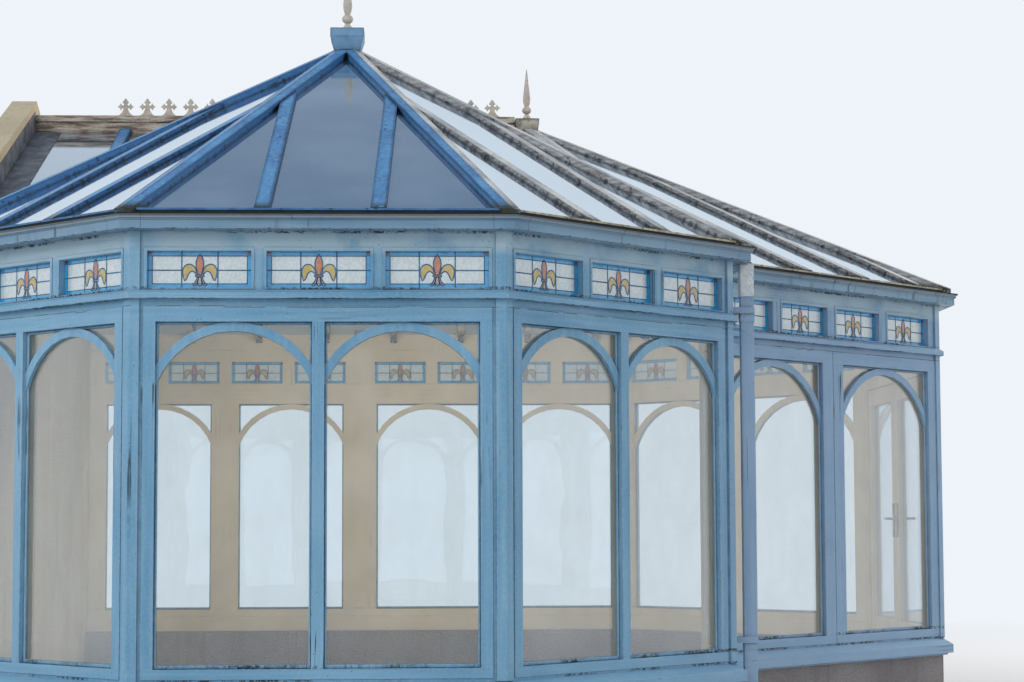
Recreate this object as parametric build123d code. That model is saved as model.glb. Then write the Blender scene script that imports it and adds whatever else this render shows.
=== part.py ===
from build123d import *
from math import acos, cos, hypot, pi, sin, sqrt
import os

# A timber conservatory: a small octagonal front bay runs back into a larger octagonal main
# bay, whose left end closes on a plain party wall. Lengths are millimetres, +Z is up, the
# front window faces -Y, and the origin is on the ground at the middle of the outer box.

# Plan
front_side = 1600
return_length = 730
main_diagonal_side = 2130
door_side = 1940
party_wall_thickness = 150
left_return_cut = 60

# Heights above the ground
floor_top = 150
dwarf_wall_top = 450
sill_top = 545
window_foot = 600
window_head = 2068
head_rail = 98
drip_rail_height = 38
light_sill = 10
light_height = 157
frieze_height = 150
gutter_depth = 65
eaves_rise = 25
roof_rise = 1089

# Walls and joinery
dwarf_wall_thickness = 200
dwarf_wall_recess = 10
sill_reach = 45
sill_depth = 130
sill_nose_drop = 60
post_face = 42
post_depth = 75
frame_recess = 12
frame_depth = 60
window_margin = 110
window_mullion = 53
main_window_margin = 118
main_window_mullion = 194
light_margin = 72
light_mullion = 65
main_light_margin = 105
main_light_mullion = 86
glass_thickness = 6
glass_setback = 42
light_thickness = 8
arch_band = 38
arch_thickness = 18
arch_swell = 1.063
arch_segments = 12
drip_rail_reach = 22
gutter_reach = 103
gutter_wall = 5

# Roof
roof_glass_thickness = 10
roof_overhang = 35
bar_width = 66
bar_web = 24
bar_rafter_width = 44
bar_rafter_depth = 62
bar_cap_height = 26
bar_cap_end_gap = 2
hip_width = 90
hip_web = 40
hip_rafter_width = 64
hip_rafter_depth = 95
hip_cap_height = 38
hip_mitre_gap = 0.5
valley_width = 120
valley_lining = 12
jack_bar_shares = (0.35, 0.66)
main_bar_shares = (0.1175, 0.3725, 0.6275, 0.8825)
bar_spacing = 490
inner_bar_start = 553
apex_offset = 60
apex_boss_radius = 78
apex_boss_depth = 150
apex_box_foot = 130
apex_box_taper = 0.62
front_box_width = 172
front_box_top = 107
main_box_width = 148
main_box_top = 72
ridge_width = 110
ridge_board = 44
ridge_cap = 38
ridge_cap_width = 130
finial_height = 325
finial_width = 64
finial_sides = 12
crest_pitch = 133
crest_height = 120
crest_thickness = 12
crest_start = 479
flashing_thickness = 6
flashing_width = 160
flashing_upstand = 130
party_wall_upstand = 180

# French doors
door_jamb = 108
door_gap = 6
jamb_lining = 45
door_foot = 166
threshold_top = 158
leaf_thickness = 50
leaf_recess = 18
leaf_stile = 95
leaf_top_rail = 105
leaf_panel_recess = 14
hinge_radius = 6
hinge_length = 90
hinge_plate = 3
hinge_plate_width = 28
hinge_running_gap = 0.3
hinge_from_foot = 184
hinge_from_head = 95
handle_height = 1228
handle_plate_length = 210
handle_plate_width = 38
handle_plate_thickness = 8
handle_neck = 34
handle_lever_length = 110
handle_lever_radius = 9
handle_neck_radius = 7
rod_sides = 10

# Downpipe
pipe_size = 62
pipe_gap = 50
pipe_from_corner = 90
pipe_collar = 3
pipe_collar_height = 60
pipe_outlet = 162
pipe_clip_height = 30
pipe_clip_reach = 12

drip_rail_foot = window_head + head_rail
drip_rail_top = drip_rail_foot + drip_rail_height
light_foot = drip_rail_top + light_sill
light_head = light_foot + light_height
frame_top = light_head + frieze_height
gutter_top = frame_top
gutter_foot = gutter_top - gutter_depth
eaves_height = frame_top + eaves_rise
ridge_height = eaves_height + roof_rise

half_front = front_side / 2
diagonal = front_side * sqrt(0.5)
main_diagonal = main_diagonal_side * sqrt(0.5)
left_end_x = -half_front - diagonal
return_x = half_front + diagonal
reentrant_y = diagonal + return_length
door_x = return_x + main_diagonal
door_y0 = reentrant_y + main_diagonal
door_y1 = door_y0 + door_side
rear_y = door_y1 + main_diagonal
ridge_y = (reentrant_y + rear_y) / 2
front_apex = (apex_offset, front_side * (1 + sqrt(2)) / 2)
main_apex = (door_x - door_side * (1 + sqrt(2)) / 2, ridge_y)
ridge_meeting = (apex_offset, ridge_y)
ridge_left = (left_end_x, ridge_y)
party_outer_x = left_end_x - party_wall_thickness

origin_x = (party_outer_x + door_x + gutter_reach) / 2
origin_y = rear_y / 2

# Corners of the outer wall line, walked so that the outside is on the right hand.
corners = [
    (left_end_x, reentrant_y - left_return_cut),
    (left_end_x, diagonal),
    (-half_front, 0),
    (half_front, 0),
    (return_x, diagonal),
    (return_x, reentrant_y),
    (door_x, door_y0),
    (door_x, door_y1),
    (return_x, rear_y),
    (left_end_x, rear_y),
]
LEFT_RETURN, FRONT_LEFT, FRONT, FRONT_RIGHT, RIGHT_RETURN = range(5)
SIDE_FRONT, DOOR, SIDE_REAR, REAR = range(5, 9)
STRAIGHT = (LEFT_RETURN, FRONT, RIGHT_RETURN, DOOR, REAR)
DIAGONAL = (FRONT_LEFT, FRONT_RIGHT, SIDE_FRONT, SIDE_REAR)

nodes = {}


def save(name, *solids):
    nodes[name] = list(solids)


def direction(wall):
    (ax, ay), (bx, by) = corners[wall], corners[wall + 1]
    length = hypot(bx - ax, by - ay)
    return (bx - ax) / length, (by - ay) / length


def wall_length(wall):
    (ax, ay), (bx, by) = corners[wall], corners[wall + 1]
    return hypot(bx - ax, by - ay)


def on_wall(wall, along, outward):
    dx, dy = direction(wall)
    ax, ay = corners[wall]
    return ax + dx * along + dy * outward, ay + dy * along - dx * outward


def corner(number, outward):
    """The wall line's corner, moved outward on its mitre."""
    if number == 0:
        return on_wall(0, 0, outward)
    if number == len(corners) - 1:
        return on_wall(number - 1, wall_length(number - 1), outward)
    (ax, ay), (bx, by) = direction(number - 1), direction(number)
    nx, ny = ay + by, -ax - bx
    scale = outward / (1 + ax * bx + ay * by)
    cx, cy = corners[number]
    return cx + nx * scale, cy + ny * scale


def column(points, low, high):
    face = Face(Wire.make_polygon([(x, y, low) for x, y in points]))
    return Solid.extrude(face, Vector(0, 0, high - low))


def strip(wall, outer, inner, low, high):
    """A straight run along one wall with mitred ends."""
    points = [corner(wall, outer), corner(wall + 1, outer), corner(wall + 1, inner), corner(wall, inner)]
    return column(points, low, high)


def wall_block(wall, start, end, outer, inner, low, high):
    points = [on_wall(wall, start, outer), on_wall(wall, end, outer),
              on_wall(wall, end, inner), on_wall(wall, start, inner)]
    return column(points, low, high)


def moulding(wall, profile, start=None, end=None):
    """A profile of (outward, height) points run along one wall, mitred where no end is given."""
    dx, dy = direction(wall)
    reach = max(abs(outward) for outward, height in profile) * 1.5 + 10
    length = wall_length(wall)
    x, y = on_wall(wall, length + reach, 0)
    plane = Plane(origin=(x, y, 0), x_dir=(dy, -dx, 0), z_dir=(-dx, -dy, 0))
    face = Face(Wire.make_polygon([plane.from_local_coords(Vector(u, v, 0)) for u, v in profile]))
    bar = Solid.extrude(face, Vector(-dx, -dy, 0) * (length + 2 * reach))
    for number, given in ((wall, start), (wall + 1, end)):
        sign = 1 if number == wall else -1
        if given is None:
            px, py = corner(number, 0)
            qx, qy = corner(number, -post_depth)
            across = Vector(qx - px, qy - py, 0).cross(Vector(0, 0, 1)).normalized()
        else:
            px, py = on_wall(wall, given, 0)
            across = Vector(dx, dy, 0)
        if across.dot(Vector(dx, dy, 0)) * sign < 0:
            across = across * -1
        bar = bar.split(Plane(origin=(px, py, 0), z_dir=across), keep=Keep.TOP)
    return bar


# Roof planes

def slope_height(eave_from, eave_to, top):
    """Height of the plane through an eaves line and one point of the ridge."""
    ax, ay = eave_from
    bx, by = eave_to
    length = hypot(bx - ax, by - ay)
    nx, ny = (by - ay) / length, -(bx - ax) / length
    run = (ax - top[0]) * nx + (ay - top[1]) * ny
    pitch = (ridge_height - eaves_height) / run

    def height(x, y):
        return eaves_height + pitch * ((ax - x) * nx + (ay - y) * ny)
    return height


def inside(points, edges):
    """Cut a plan polygon back to the left of each (point, point, inset) edge."""
    for (ax, ay), (bx, by), inset in edges:
        length = hypot(bx - ax, by - ay)
        nx, ny = -(by - ay) / length, (bx - ax) / length
        kept = []
        for index, current in enumerate(points):
            previous = points[index - 1]
            d0 = (previous[0] - ax) * nx + (previous[1] - ay) * ny - inset
            d1 = (current[0] - ax) * nx + (current[1] - ay) * ny - inset
            if (d0 < 0) != (d1 < 0):
                share = d0 / (d0 - d1)
                kept.append((previous[0] + (current[0] - previous[0]) * share,
                             previous[1] + (current[1] - previous[1]) * share))
            if d1 >= 0:
                kept.append(current)
        points = kept
        if not points:
            return []
    return points


def slab(points, height, low, high):
    """A plan polygon lifted onto a roof plane, between two heights above it."""
    face = Face(Wire.make_polygon([(x, y, height(x, y) + low) for x, y in points]))
    return Solid.extrude(face, Vector(0, 0, high - low))


def rod(plane, radius, length):
    """A bar of many flat sides that stands on a plane."""
    points = [plane.from_local_coords(Vector(x, y, 0)) for x, y in regular((0, 0), radius, rod_sides)]
    return Solid.extrude(Face(Wire.make_polygon(points)), plane.z_dir * length)


def regular(centre, radius, sides, turn=0.5):
    return [(centre[0] + radius * cos(2 * pi * (i + turn) / sides),
             centre[1] + radius * sin(2 * pi * (i + turn) / sides)) for i in range(sides)]


def ribbon(start, end, half):
    length = hypot(end[0] - start[0], end[1] - start[1])
    nx, ny = -(end[1] - start[1]) / length * half, (end[0] - start[0]) / length * half
    return [(start[0] - nx, start[1] - ny), (end[0] - nx, end[1] - ny),
            (end[0] + nx, end[1] + ny), (start[0] + nx, start[1] + ny)]


# Each slope is named with its plan corners (left hand inside) and the kind of each edge.
slopes = {
    "left_return": dict(points=[(left_end_x, reentrant_y), corners[1], front_apex, ridge_meeting],
                        edges=("eave", "hip", "ridge", "valley")),
    "front_left": dict(points=[corners[1], corners[2], front_apex], edges=("eave", "hip", "hip")),
    "front": dict(points=[corners[2], corners[3], front_apex], edges=("eave", "hip", "hip")),
    "front_right": dict(points=[corners[3], corners[4], front_apex], edges=("eave", "hip", "hip")),
    "right_return": dict(points=[corners[4], corners[5], ridge_meeting, front_apex],
                         edges=("eave", "valley", "ridge", "hip")),
    "side_front": dict(points=[corners[5], corners[6], main_apex], edges=("eave", "hip", "hip")),
    "door_side": dict(points=[corners[6], corners[7], main_apex], edges=("eave", "hip", "hip")),
    "side_rear": dict(points=[corners[7], corners[8], main_apex], edges=("eave", "hip", "hip")),
    "rear": dict(points=[corners[8], corners[9], ridge_left, main_apex],
                 edges=("eave", "party", "ridge", "hip")),
    "inner_right": dict(points=[corners[5], main_apex, ridge_meeting],
                        edges=("hip", "ridge", "valley")),
    "inner_left": dict(points=[(left_end_x, reentrant_y), ridge_meeting, ridge_left],
                       edges=("valley", "ridge", "party")),
}
SLOPE_OVER = ("left_return", "front_left", "front", "front_right", "right_return", "side_front",
              "door_side", "side_rear", "rear")
FRONT_SLOPES = ("left_return", "front_left", "front", "front_right", "right_return")
MAIN_SLOPES = ("side_front", "door_side", "side_rear", "rear", "inner_right", "inner_left")

for name, slope in slopes.items():
    if name.startswith("inner"):
        slope["height"] = slope_height((left_end_x, reentrant_y), (return_x, reentrant_y), ridge_meeting)
    else:
        top = ridge_left if name == "rear" else slope["points"][-1 if len(slope["points"]) == 3 else 2]
        slope["height"] = slope_height(slope["points"][0], slope["points"][1], top)

frame_back = frame_recess + frame_depth
CAP_INSET = {"eave": -roof_overhang, "hip": hip_width / 2 + bar_cap_end_gap,
             "valley": valley_width / 2 + bar_cap_end_gap, "ridge": ridge_width / 2, "party": 0}
RAFTER_INSET = dict(CAP_INSET, eave=frame_back)
VALLEY_INSET = {"eave": 0, "hip": hip_width / 2, "valley": 0, "ridge": ridge_width / 2, "party": 0}
HIP_INSET = {"eave": -2 * roof_overhang, "hip": 0, "valley": valley_width / 2, "ridge": ridge_width / 2, "party": 0}
HIP_RAFTER_INSET = dict(HIP_INSET, eave=post_depth)
PANE_INSET = {"eave": -roof_overhang, "hip": hip_web / 2, "valley": valley_width / 2 - 25,
              "ridge": ridge_width / 2, "party": 0}


def slope_edges(slope, insets):
    points = slope["points"]
    return [(points[i], points[(i + 1) % len(points)], insets[kind]) for i, kind in enumerate(slope["edges"])]


def bar_lines(name):
    """Plan lines of a slope's glazing bars, from the eaves or valley up."""
    slope = slopes[name]
    a, b = slope["points"][0], slope["points"][1]
    if name == "inner_left":
        count = int((ridge_meeting[0] - left_end_x - inner_bar_start) // bar_spacing) + 1
        across = [left_end_x + inner_bar_start + bar_spacing * i for i in range(count)]
        return [((x, reentrant_y), (x, ridge_y)) for x in across]
    if name == "inner_right":
        count = max(1, round((main_apex[0] - ridge_meeting[0]) / bar_spacing))
        step = (main_apex[0] - ridge_meeting[0]) / count
        across = [ridge_meeting[0] + step * (i + 0.5) for i in range(count)]
        return [((x, reentrant_y), (x, ridge_y)) for x in across]
    length = hypot(b[0] - a[0], b[1] - a[1])
    ux, uy = (b[0] - a[0]) / length, (b[1] - a[1]) / length
    rise_x, rise_y = -uy, ux
    if name in ("left_return", "right_return"):
        apex_along = front_apex[1] - diagonal
        count = round((ridge_y - front_apex[1]) / bar_spacing)
        offsets = [apex_along + bar_spacing * (i - 0.5) for i in range(count + 1)]
        if name == "left_return":
            offsets = [length - s for s in offsets]
    elif name == "rear":
        count = round(length / bar_spacing)
        offsets = [length * (i + 0.5) / count for i in range(count)]
    else:
        shares = jack_bar_shares if name in FRONT_SLOPES else main_bar_shares
        offsets = [length * share for share in shares]
        top = slope["points"][2]
        run = hypot(top[0] - (a[0] + b[0]) / 2, top[1] - (a[1] + b[1]) / 2)
        rise_x, rise_y = (top[0] - (a[0] + b[0]) / 2) / run, (top[1] - (a[1] + b[1]) / 2) / run
    lines = []
    for s in offsets:
        foot = (a[0] + ux * s - rise_x * 2 * roof_overhang, a[1] + uy * s - rise_y * 2 * roof_overhang)
        lines.append((foot, (foot[0] + rise_x * rear_y, foot[1] + rise_y * rear_y)))
    return lines


def roof_bars(name):
    slope = slopes[name]
    bars = []
    for start, end in bar_lines(name):
        layers = ((bar_rafter_width, -roof_glass_thickness - bar_rafter_depth, -roof_glass_thickness, RAFTER_INSET),
                  (bar_web, -roof_glass_thickness, 0, CAP_INSET),
                  (bar_width, 0, bar_cap_height, CAP_INSET))
        pieces = []
        for width, low, high, insets in layers:
            plan = inside(ribbon(start, end, width / 2), slope_edges(slope, insets))
            if len(plan) > 2:
                pieces.append(slab(plan, slope["height"], low, high))
        if len(pieces) == 3:
            bars.append(pieces[0].fuse(pieces[1], pieces[2]))
    return bars


def roof_panes(name):
    slope = slopes[name]
    reach = 2 * rear_y
    field = [(-reach, -reach), (reach, -reach), (reach, reach), (-reach, reach)]
    panes = [slab(inside(field, slope_edges(slope, PANE_INSET)), slope["height"], -roof_glass_thickness, 0)]
    for start, end in bar_lines(name):
        cutter = column(ribbon(start, end, bar_web / 2), 0, 2 * ridge_height)
        panes = [piece for pane in panes for piece in pane.cut(cutter).solids()]
    return panes


def hip(foot, top, left, right, layers):
    """A member along a hip or valley: each half follows its own slope, up to that slope's middle."""
    length = hypot(top[0] - foot[0], top[1] - foot[1])
    ux, uy = (top[0] - foot[0]) / length, (top[1] - foot[1]) / length
    start = (foot[0] - ux * 2 * roof_overhang, foot[1] - uy * 2 * roof_overhang)
    pieces = []
    for width, low, high, insets in layers:
        for name, side in ((left, 1), (right, -1)):
            half = [start, top, (top[0] - uy * side * width / 2, top[1] + ux * side * width / 2),
                    (start[0] - uy * side * width / 2, start[1] + ux * side * width / 2)]
            if side < 0:
                half = [half[0], half[3], half[2], half[1]]
            plan = inside(half, slope_edges(slopes[name], insets))
            if slopes[name]["edges"] == ("eave", "hip", "hip"):
                a, b = slopes[name]["points"][:2]
                middle = ((a[0] + b[0]) / 2, (a[1] + b[1]) / 2)
                axis = (top, middle, hip_mitre_gap) if side > 0 else (middle, top, hip_mitre_gap)
                plan = inside(plan, [axis])
            pieces.append(slab(plan, slopes[name]["height"], low, high))
    return pieces[0].fuse(*pieces[1:])


# Masonry and floors

door_opening = door_side - 2 * (post_face + door_jamb)
opening_start = post_face + door_jamb
opening_end = door_side - opening_start
masonry_start = opening_start - jamb_lining
masonry_end = opening_end + jamb_lining
floor_edge = -dwarf_wall_recess - dwarf_wall_thickness


def dwarf_wall(wall):
    whole = strip(wall, -dwarf_wall_recess, floor_edge, 0, dwarf_wall_top)
    if wall != DOOR:
        return [whole]
    beyond = dwarf_wall_thickness
    gap = wall_block(DOOR, masonry_start, masonry_end, beyond, floor_edge - beyond, -beyond, dwarf_wall_top + beyond)
    return whole.cut(gap).solids()


save("dwarf_walls_straight", *[solid for wall in STRAIGHT for solid in dwarf_wall(wall)])
save("dwarf_walls_diagonal", *[solid for wall in DIAGONAL for solid in dwarf_wall(wall)])

front_floor = [corner(number, floor_edge) for number in (1, 2, 3, 4)]
front_floor = [(front_floor[0][0], reentrant_y)] + front_floor + [(front_floor[3][0], reentrant_y)]
main_floor = [(left_end_x, reentrant_y), (corner(5, floor_edge)[0], reentrant_y)]
main_floor += [corner(number, floor_edge) for number in (5, 6, 7, 8, 9)]
save("floor_front_bay", column(front_floor, 0, floor_top))
save("floor_main_bay", column(main_floor, 0, floor_top))

gable = [(reentrant_y - left_return_cut, 0), (rear_y, 0), (rear_y, eaves_height + party_wall_upstand),
         (ridge_y, ridge_height + party_wall_upstand),
         (reentrant_y - left_return_cut, eaves_height + party_wall_upstand)]
gable_face = Face(Wire.make_polygon([(party_outer_x, y, z) for y, z in gable]))
save("party_wall", Solid.extrude(gable_face, Vector(party_wall_thickness, 0, 0)))

# Sills, drip rails and gutters

sill_profile = [(sill_reach, dwarf_wall_top + 12), (sill_reach, dwarf_wall_top + sill_nose_drop),
                (-frame_recess, sill_top), (sill_reach - sill_depth, sill_top),
                (sill_reach - sill_depth, dwarf_wall_top), (sill_reach - 30, dwarf_wall_top),
                (sill_reach - 30, dwarf_wall_top + 12)]
drip_profile = [(-frame_recess, drip_rail_foot), (drip_rail_reach, drip_rail_foot),
                (drip_rail_reach, drip_rail_top - 14), (0, drip_rail_top), (-frame_recess, drip_rail_top)]
gutter_profile = [(0, gutter_foot), (gutter_reach - 20, gutter_foot),
                  (gutter_reach - 20, gutter_foot + 35), (gutter_reach - 10, gutter_foot + 43),
                  (gutter_reach - 10, gutter_foot + 51), (gutter_reach, gutter_foot + 57),
                  (gutter_reach, gutter_top), (gutter_reach - gutter_wall, gutter_top),
                  (gutter_reach - gutter_wall, gutter_foot + 60),
                  (gutter_reach - 20 - gutter_wall, gutter_foot + 46),
                  (gutter_reach - 20 - gutter_wall, gutter_foot + gutter_wall),
                  (gutter_wall, gutter_foot + gutter_wall), (gutter_wall, gutter_top), (0, gutter_top)]


def sills(wall):
    if wall == DOOR:
        return [moulding(DOOR, sill_profile, end=masonry_start), moulding(DOOR, sill_profile, start=masonry_end)]
    return [moulding(wall, sill_profile)]


for group, walls in (("straight", STRAIGHT), ("diagonal", DIAGONAL)):
    save("sills_" + group, *[solid for wall in walls for solid in sills(wall)])
    save("gutters_" + group, *[moulding(wall, gutter_profile) for wall in walls])

# Corner posts

posts = []
for number in range(1, len(corners) - 1):
    before, after = wall_length(number - 1) - post_face, post_face
    outline = [on_wall(number - 1, before, 0), corners[number], on_wall(number, after, 0),
               on_wall(number, after, -post_depth), corner(number, -post_depth),
               on_wall(number - 1, before, -post_depth)]
    posts.append(column(outline, sill_top, frame_top))
posts.append(wall_block(LEFT_RETURN, 0, post_face, 0, -post_depth, sill_top, frame_top))
rear_length = wall_length(REAR)
posts.append(wall_block(REAR, rear_length - post_face, rear_length, 0, -post_depth, sill_top, frame_top))
posts.append(wall_block(REAR, rear_length / 2 - post_face, rear_length / 2 + post_face, 0, -post_depth,
                        sill_top, frame_top))
save("corner_posts", *posts)
for group, walls in (("straight", STRAIGHT), ("diagonal", DIAGONAL)):
    save("drip_rails_" + group, *[moulding(wall, drip_profile).cut(*posts) for wall in walls])

# Window frames, panes, arches and leaded lights

glass_front, glass_main = [], []
arches_front, arches_main = [], []
lights_front, lights_main = [], []


def spread(start, end, margin, gap, count):
    """Evenly wide openings between two ends of a wall."""
    width = (end - start - 2 * margin - (count - 1) * gap) / count
    return [(start + margin + i * (width + gap), width) for i in range(count)]


def arch(wall, start, width, outer, inner):
    """A curved bar that springs from both stiles and meets the head at its crown."""
    radius = width / 2 * arch_swell
    centre = window_head - radius - arch_band
    dx, dy = direction(wall)
    outline = []
    for reach, order in ((radius, 1), (radius + arch_band, -1)):
        spring = acos(width / 2 / reach)
        turns = [spring + (pi - 2 * spring) * i / arch_segments for i in range(arch_segments + 1)]
        outline += [(reach * cos(turn), centre + reach * sin(turn)) for turn in turns[::order]]
    points = []
    for across, height in outline:
        x, y = on_wall(wall, start + width / 2 + across, outer)
        points.append((x, y, height))
    return [Solid.extrude(Face(Wire.make_polygon(points)), Vector(-dy, dx, 0) * (outer - inner))]


def wall_plate(wall, start, end):
    """The bevelled plate on a frame's head, up to the underside of the roof glass."""
    height = slopes[SLOPE_OVER[wall]]["height"]
    profile = [(-frame_recess, frame_top)]
    for outward in (-frame_recess, -frame_back):
        x, y = on_wall(wall, (start + end) / 2, outward)
        profile.append((outward, height(x, y) - roof_glass_thickness))
    profile.append((-frame_back, frame_top))
    return moulding(wall, profile, start, end)


def window_wall(wall, start, end, windows, lights, glass, arches, leaded, foot=None):
    """One frame of windows under a row of lights, with what fills it."""
    margin, mullion, light_edge, light_gap = (
        (window_margin, window_mullion, light_margin, light_mullion) if glass is glass_front else
        (main_window_margin, main_window_mullion, main_light_margin, main_light_mullion))
    outer, inner = -frame_recess, -frame_recess - frame_depth
    frame = wall_block(wall, start + post_face, end - post_face, outer, inner, foot or sill_top, frame_top)
    through = []
    for s, width in spread(start, end, margin, mullion, windows):
        if foot is None:
            through.append(wall_block(wall, s, s + width, outer + 10, inner - 10, window_foot, window_head))
            glass.append(wall_block(wall, s, s + width, -glass_setback, -glass_setback - glass_thickness,
                                    window_foot, window_head))
            arches.extend(arch(wall, s, width, -glass_setback + arch_thickness, -glass_setback))
            arches.extend(arch(wall, s, width, -glass_setback - glass_thickness,
                               -glass_setback - glass_thickness - arch_thickness))
    for s, width in spread(start, end, light_edge, light_gap, lights):
        through.append(wall_block(wall, s, s + width, outer + 10, inner - 10, light_foot, light_head))
        leaded.append(wall_block(wall, s, s + width, -glass_setback, -glass_setback - light_thickness,
                                 light_foot, light_head))
    return frame.cut(*through).fuse(wall_plate(wall, start + post_face, end - post_face))


front_sets = (glass_front, arches_front, lights_front)
main_sets = (glass_main, arches_main, lights_main)
save("front_window_frame", window_wall(FRONT, 0, front_side, 2, 3, *front_sets))
save("front_left_window_frame", window_wall(FRONT_LEFT, 0, front_side, 2, 3, *front_sets))
save("front_right_window_frame", window_wall(FRONT_RIGHT, 0, front_side, 2, 3, *front_sets))
save("return_window_frames",
     window_wall(LEFT_RETURN, 0, wall_length(LEFT_RETURN), 1, 1, *front_sets),
     window_wall(RIGHT_RETURN, 0, return_length, 1, 1, *front_sets))
save("side_front_window_frame", window_wall(SIDE_FRONT, 0, main_diagonal_side, 2, 4, *main_sets))
save("side_rear_window_frame", window_wall(SIDE_REAR, 0, main_diagonal_side, 2, 4, *main_sets))
save("rear_window_frames",
     window_wall(REAR, 0, rear_length / 2, 2, 4, *main_sets),
     window_wall(REAR, rear_length / 2, rear_length, 2, 4, *main_sets))
save("door_transom_frame", window_wall(DOOR, 0, door_side, 1, 4, *main_sets, foot=window_head))
save("window_glass_front_bay", *glass_front)
save("window_glass_main_bay", *glass_main)
save("leaded_lights_front_bay", *lights_front)
save("leaded_lights_main_bay", *lights_main)

# French doors

def jamb(outer_end, opening_edge, masonry_edge):
    """A wide jamb over the sill, narrowed to its lining where it stands between the dwarf walls."""
    upper = wall_block(DOOR, *sorted((outer_end, opening_edge)), -frame_recess, -frame_back, sill_top, window_head)
    lower = wall_block(DOOR, *sorted((masonry_edge, opening_edge)), -frame_recess, -frame_back,
                       threshold_top, sill_top)
    return upper.fuse(lower)


save("door_jambs", jamb(post_face, opening_start, masonry_start),
     jamb(door_side - post_face, opening_end, masonry_end))
save("door_threshold", wall_block(DOOR, masonry_start, masonry_end, -dwarf_wall_recess, floor_edge, 0, threshold_top))

leaf_outer = -leaf_recess
leaf_inner = leaf_outer - leaf_thickness
leaf_width = (door_opening - 3 * door_gap) / 2
leaf_top = window_head - door_gap
hinge_heights = (door_foot + hinge_from_foot, (door_foot + leaf_top - hinge_length) / 2,
                 leaf_top - hinge_from_head - hinge_length)
hinge_line = leaf_outer + hinge_plate + hinge_running_gap + hinge_radius


def lever(wall, along, outward, side, toward):
    """A back plate, a neck and a lever that points along the wall."""
    dx, dy = direction(wall)
    low = handle_height - handle_plate_length * 0.55
    plate = wall_block(wall, along - handle_plate_width / 2, along + handle_plate_width / 2,
                       max(outward, outward + side * handle_plate_thickness),
                       min(outward, outward + side * handle_plate_thickness), low, low + handle_plate_length)
    x, y = on_wall(wall, along, outward + side * handle_plate_thickness / 2)
    neck_plane = Plane(origin=(x, y, handle_height), z_dir=(dy * side, -dx * side, 0))
    neck = rod(neck_plane, handle_neck_radius, handle_neck)
    x, y = on_wall(wall, along - toward * handle_lever_radius, outward + side * handle_neck)
    bar_plane = Plane(origin=(x, y, handle_height), z_dir=(dx * toward, dy * toward, 0))
    bar = rod(bar_plane, handle_lever_radius, handle_lever_length)
    return plate.fuse(neck, bar)


def hinge_flap(edge, inward):
    """The moving plate of each hinge, screwed to the leaf's outer face."""
    ends = sorted((edge, edge + inward * hinge_plate_width))
    return [wall_block(DOOR, ends[0], ends[1], leaf_outer + hinge_plate, leaf_outer, level, level + hinge_length)
            for level in hinge_heights]


def hinge_knuckle(edge, inward, level):
    """The fixed knuckle on its plate, which is screwed to the jamb."""
    x, y = on_wall(DOOR, edge, hinge_line)
    knuckle = Solid.make_cylinder(hinge_radius, hinge_length, Plane(origin=(x, y, level)))
    ends = sorted((edge, edge - inward * (door_gap + hinge_plate_width)))
    plate = wall_block(DOOR, ends[0], ends[1], -frame_recess + hinge_plate, -frame_recess,
                       level, level + hinge_length)
    return knuckle.fuse(plate)


save("door_hinges", *[hinge_knuckle(edge, inward, level) for level in hinge_heights
                      for edge, inward in ((opening_start + door_gap, 1), (opening_end - door_gap, -1))])

for hand, start, lever_at, toward in (("left", opening_start + door_gap, 1, -1),
                                      ("right", opening_start + 2 * door_gap + leaf_width, 0, 1)):
    end = start + leaf_width
    leaf = wall_block(DOOR, start, end, leaf_outer, leaf_inner, door_foot, leaf_top)
    glass_low = window_foot
    glass_high = leaf_top - leaf_top_rail
    hole = wall_block(DOOR, start + leaf_stile, end - leaf_stile, leaf_outer + 5, leaf_inner - 5,
                      glass_low, glass_high)
    leaf = leaf.cut(hole)
    for outward in (leaf_outer, leaf_inner + leaf_panel_recess):
        recess = wall_block(DOOR, start + leaf_stile, end - leaf_stile, outward, outward - leaf_panel_recess,
                            door_foot + leaf_stile, glass_low - leaf_stile)
        leaf = leaf.cut(recess)
    pane_outer = (leaf_outer + leaf_inner + glass_thickness) / 2
    save("door_leaf_" + hand, leaf)
    save("door_glass_" + hand, wall_block(DOOR, start + leaf_stile, end - leaf_stile, pane_outer,
                                          pane_outer - glass_thickness, glass_low, glass_high))
    along = end - leaf_stile / 2 if lever_at else start + leaf_stile / 2
    flaps = hinge_flap(start, 1) if lever_at else hinge_flap(end, -1)
    save("door_hardware_" + hand, lever(DOOR, along, leaf_outer, 1, toward),
         lever(DOOR, along, leaf_inner, -1, toward), *flaps)

save("window_arches_front_bay", *arches_front)
save("window_arches_main_bay", *arches_main)

# Roof

def turned(centre, sides, profile):
    """A turned form of flat sides, from its (radius, height) rings."""
    rings = [[(x, y, height) for x, y in regular(centre, radius, sides)] for radius, height in profile]
    faces = [rings[0][::-1], rings[-1]]
    for foot, head in zip(rings, rings[1:]):
        faces += [[foot[i - 1], foot[i], head[i], head[i - 1]] for i in range(sides)]
    return Solid(Shell([Face(Wire.make_polygon(face)) for face in faces]))


def apex_box(centre, width, height):
    """An octagonal boss that takes the ends of the hips, under a square box that flares upwards."""
    box_foot = ridge_height - roof_glass_thickness
    box_top = ridge_height + height
    shoulder = box_foot + (box_top - box_foot) * apex_box_taper
    boss = column(regular(centre, apex_boss_radius / cos(pi / 8), 8), ridge_height - apex_boss_depth, box_foot)
    foot_radius, top_radius = apex_box_foot / sqrt(2), width / sqrt(2)
    box = turned(centre, 4, ((foot_radius, box_foot), (top_radius, shoulder), (top_radius, box_top)))
    return boss.fuse(box)


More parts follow.
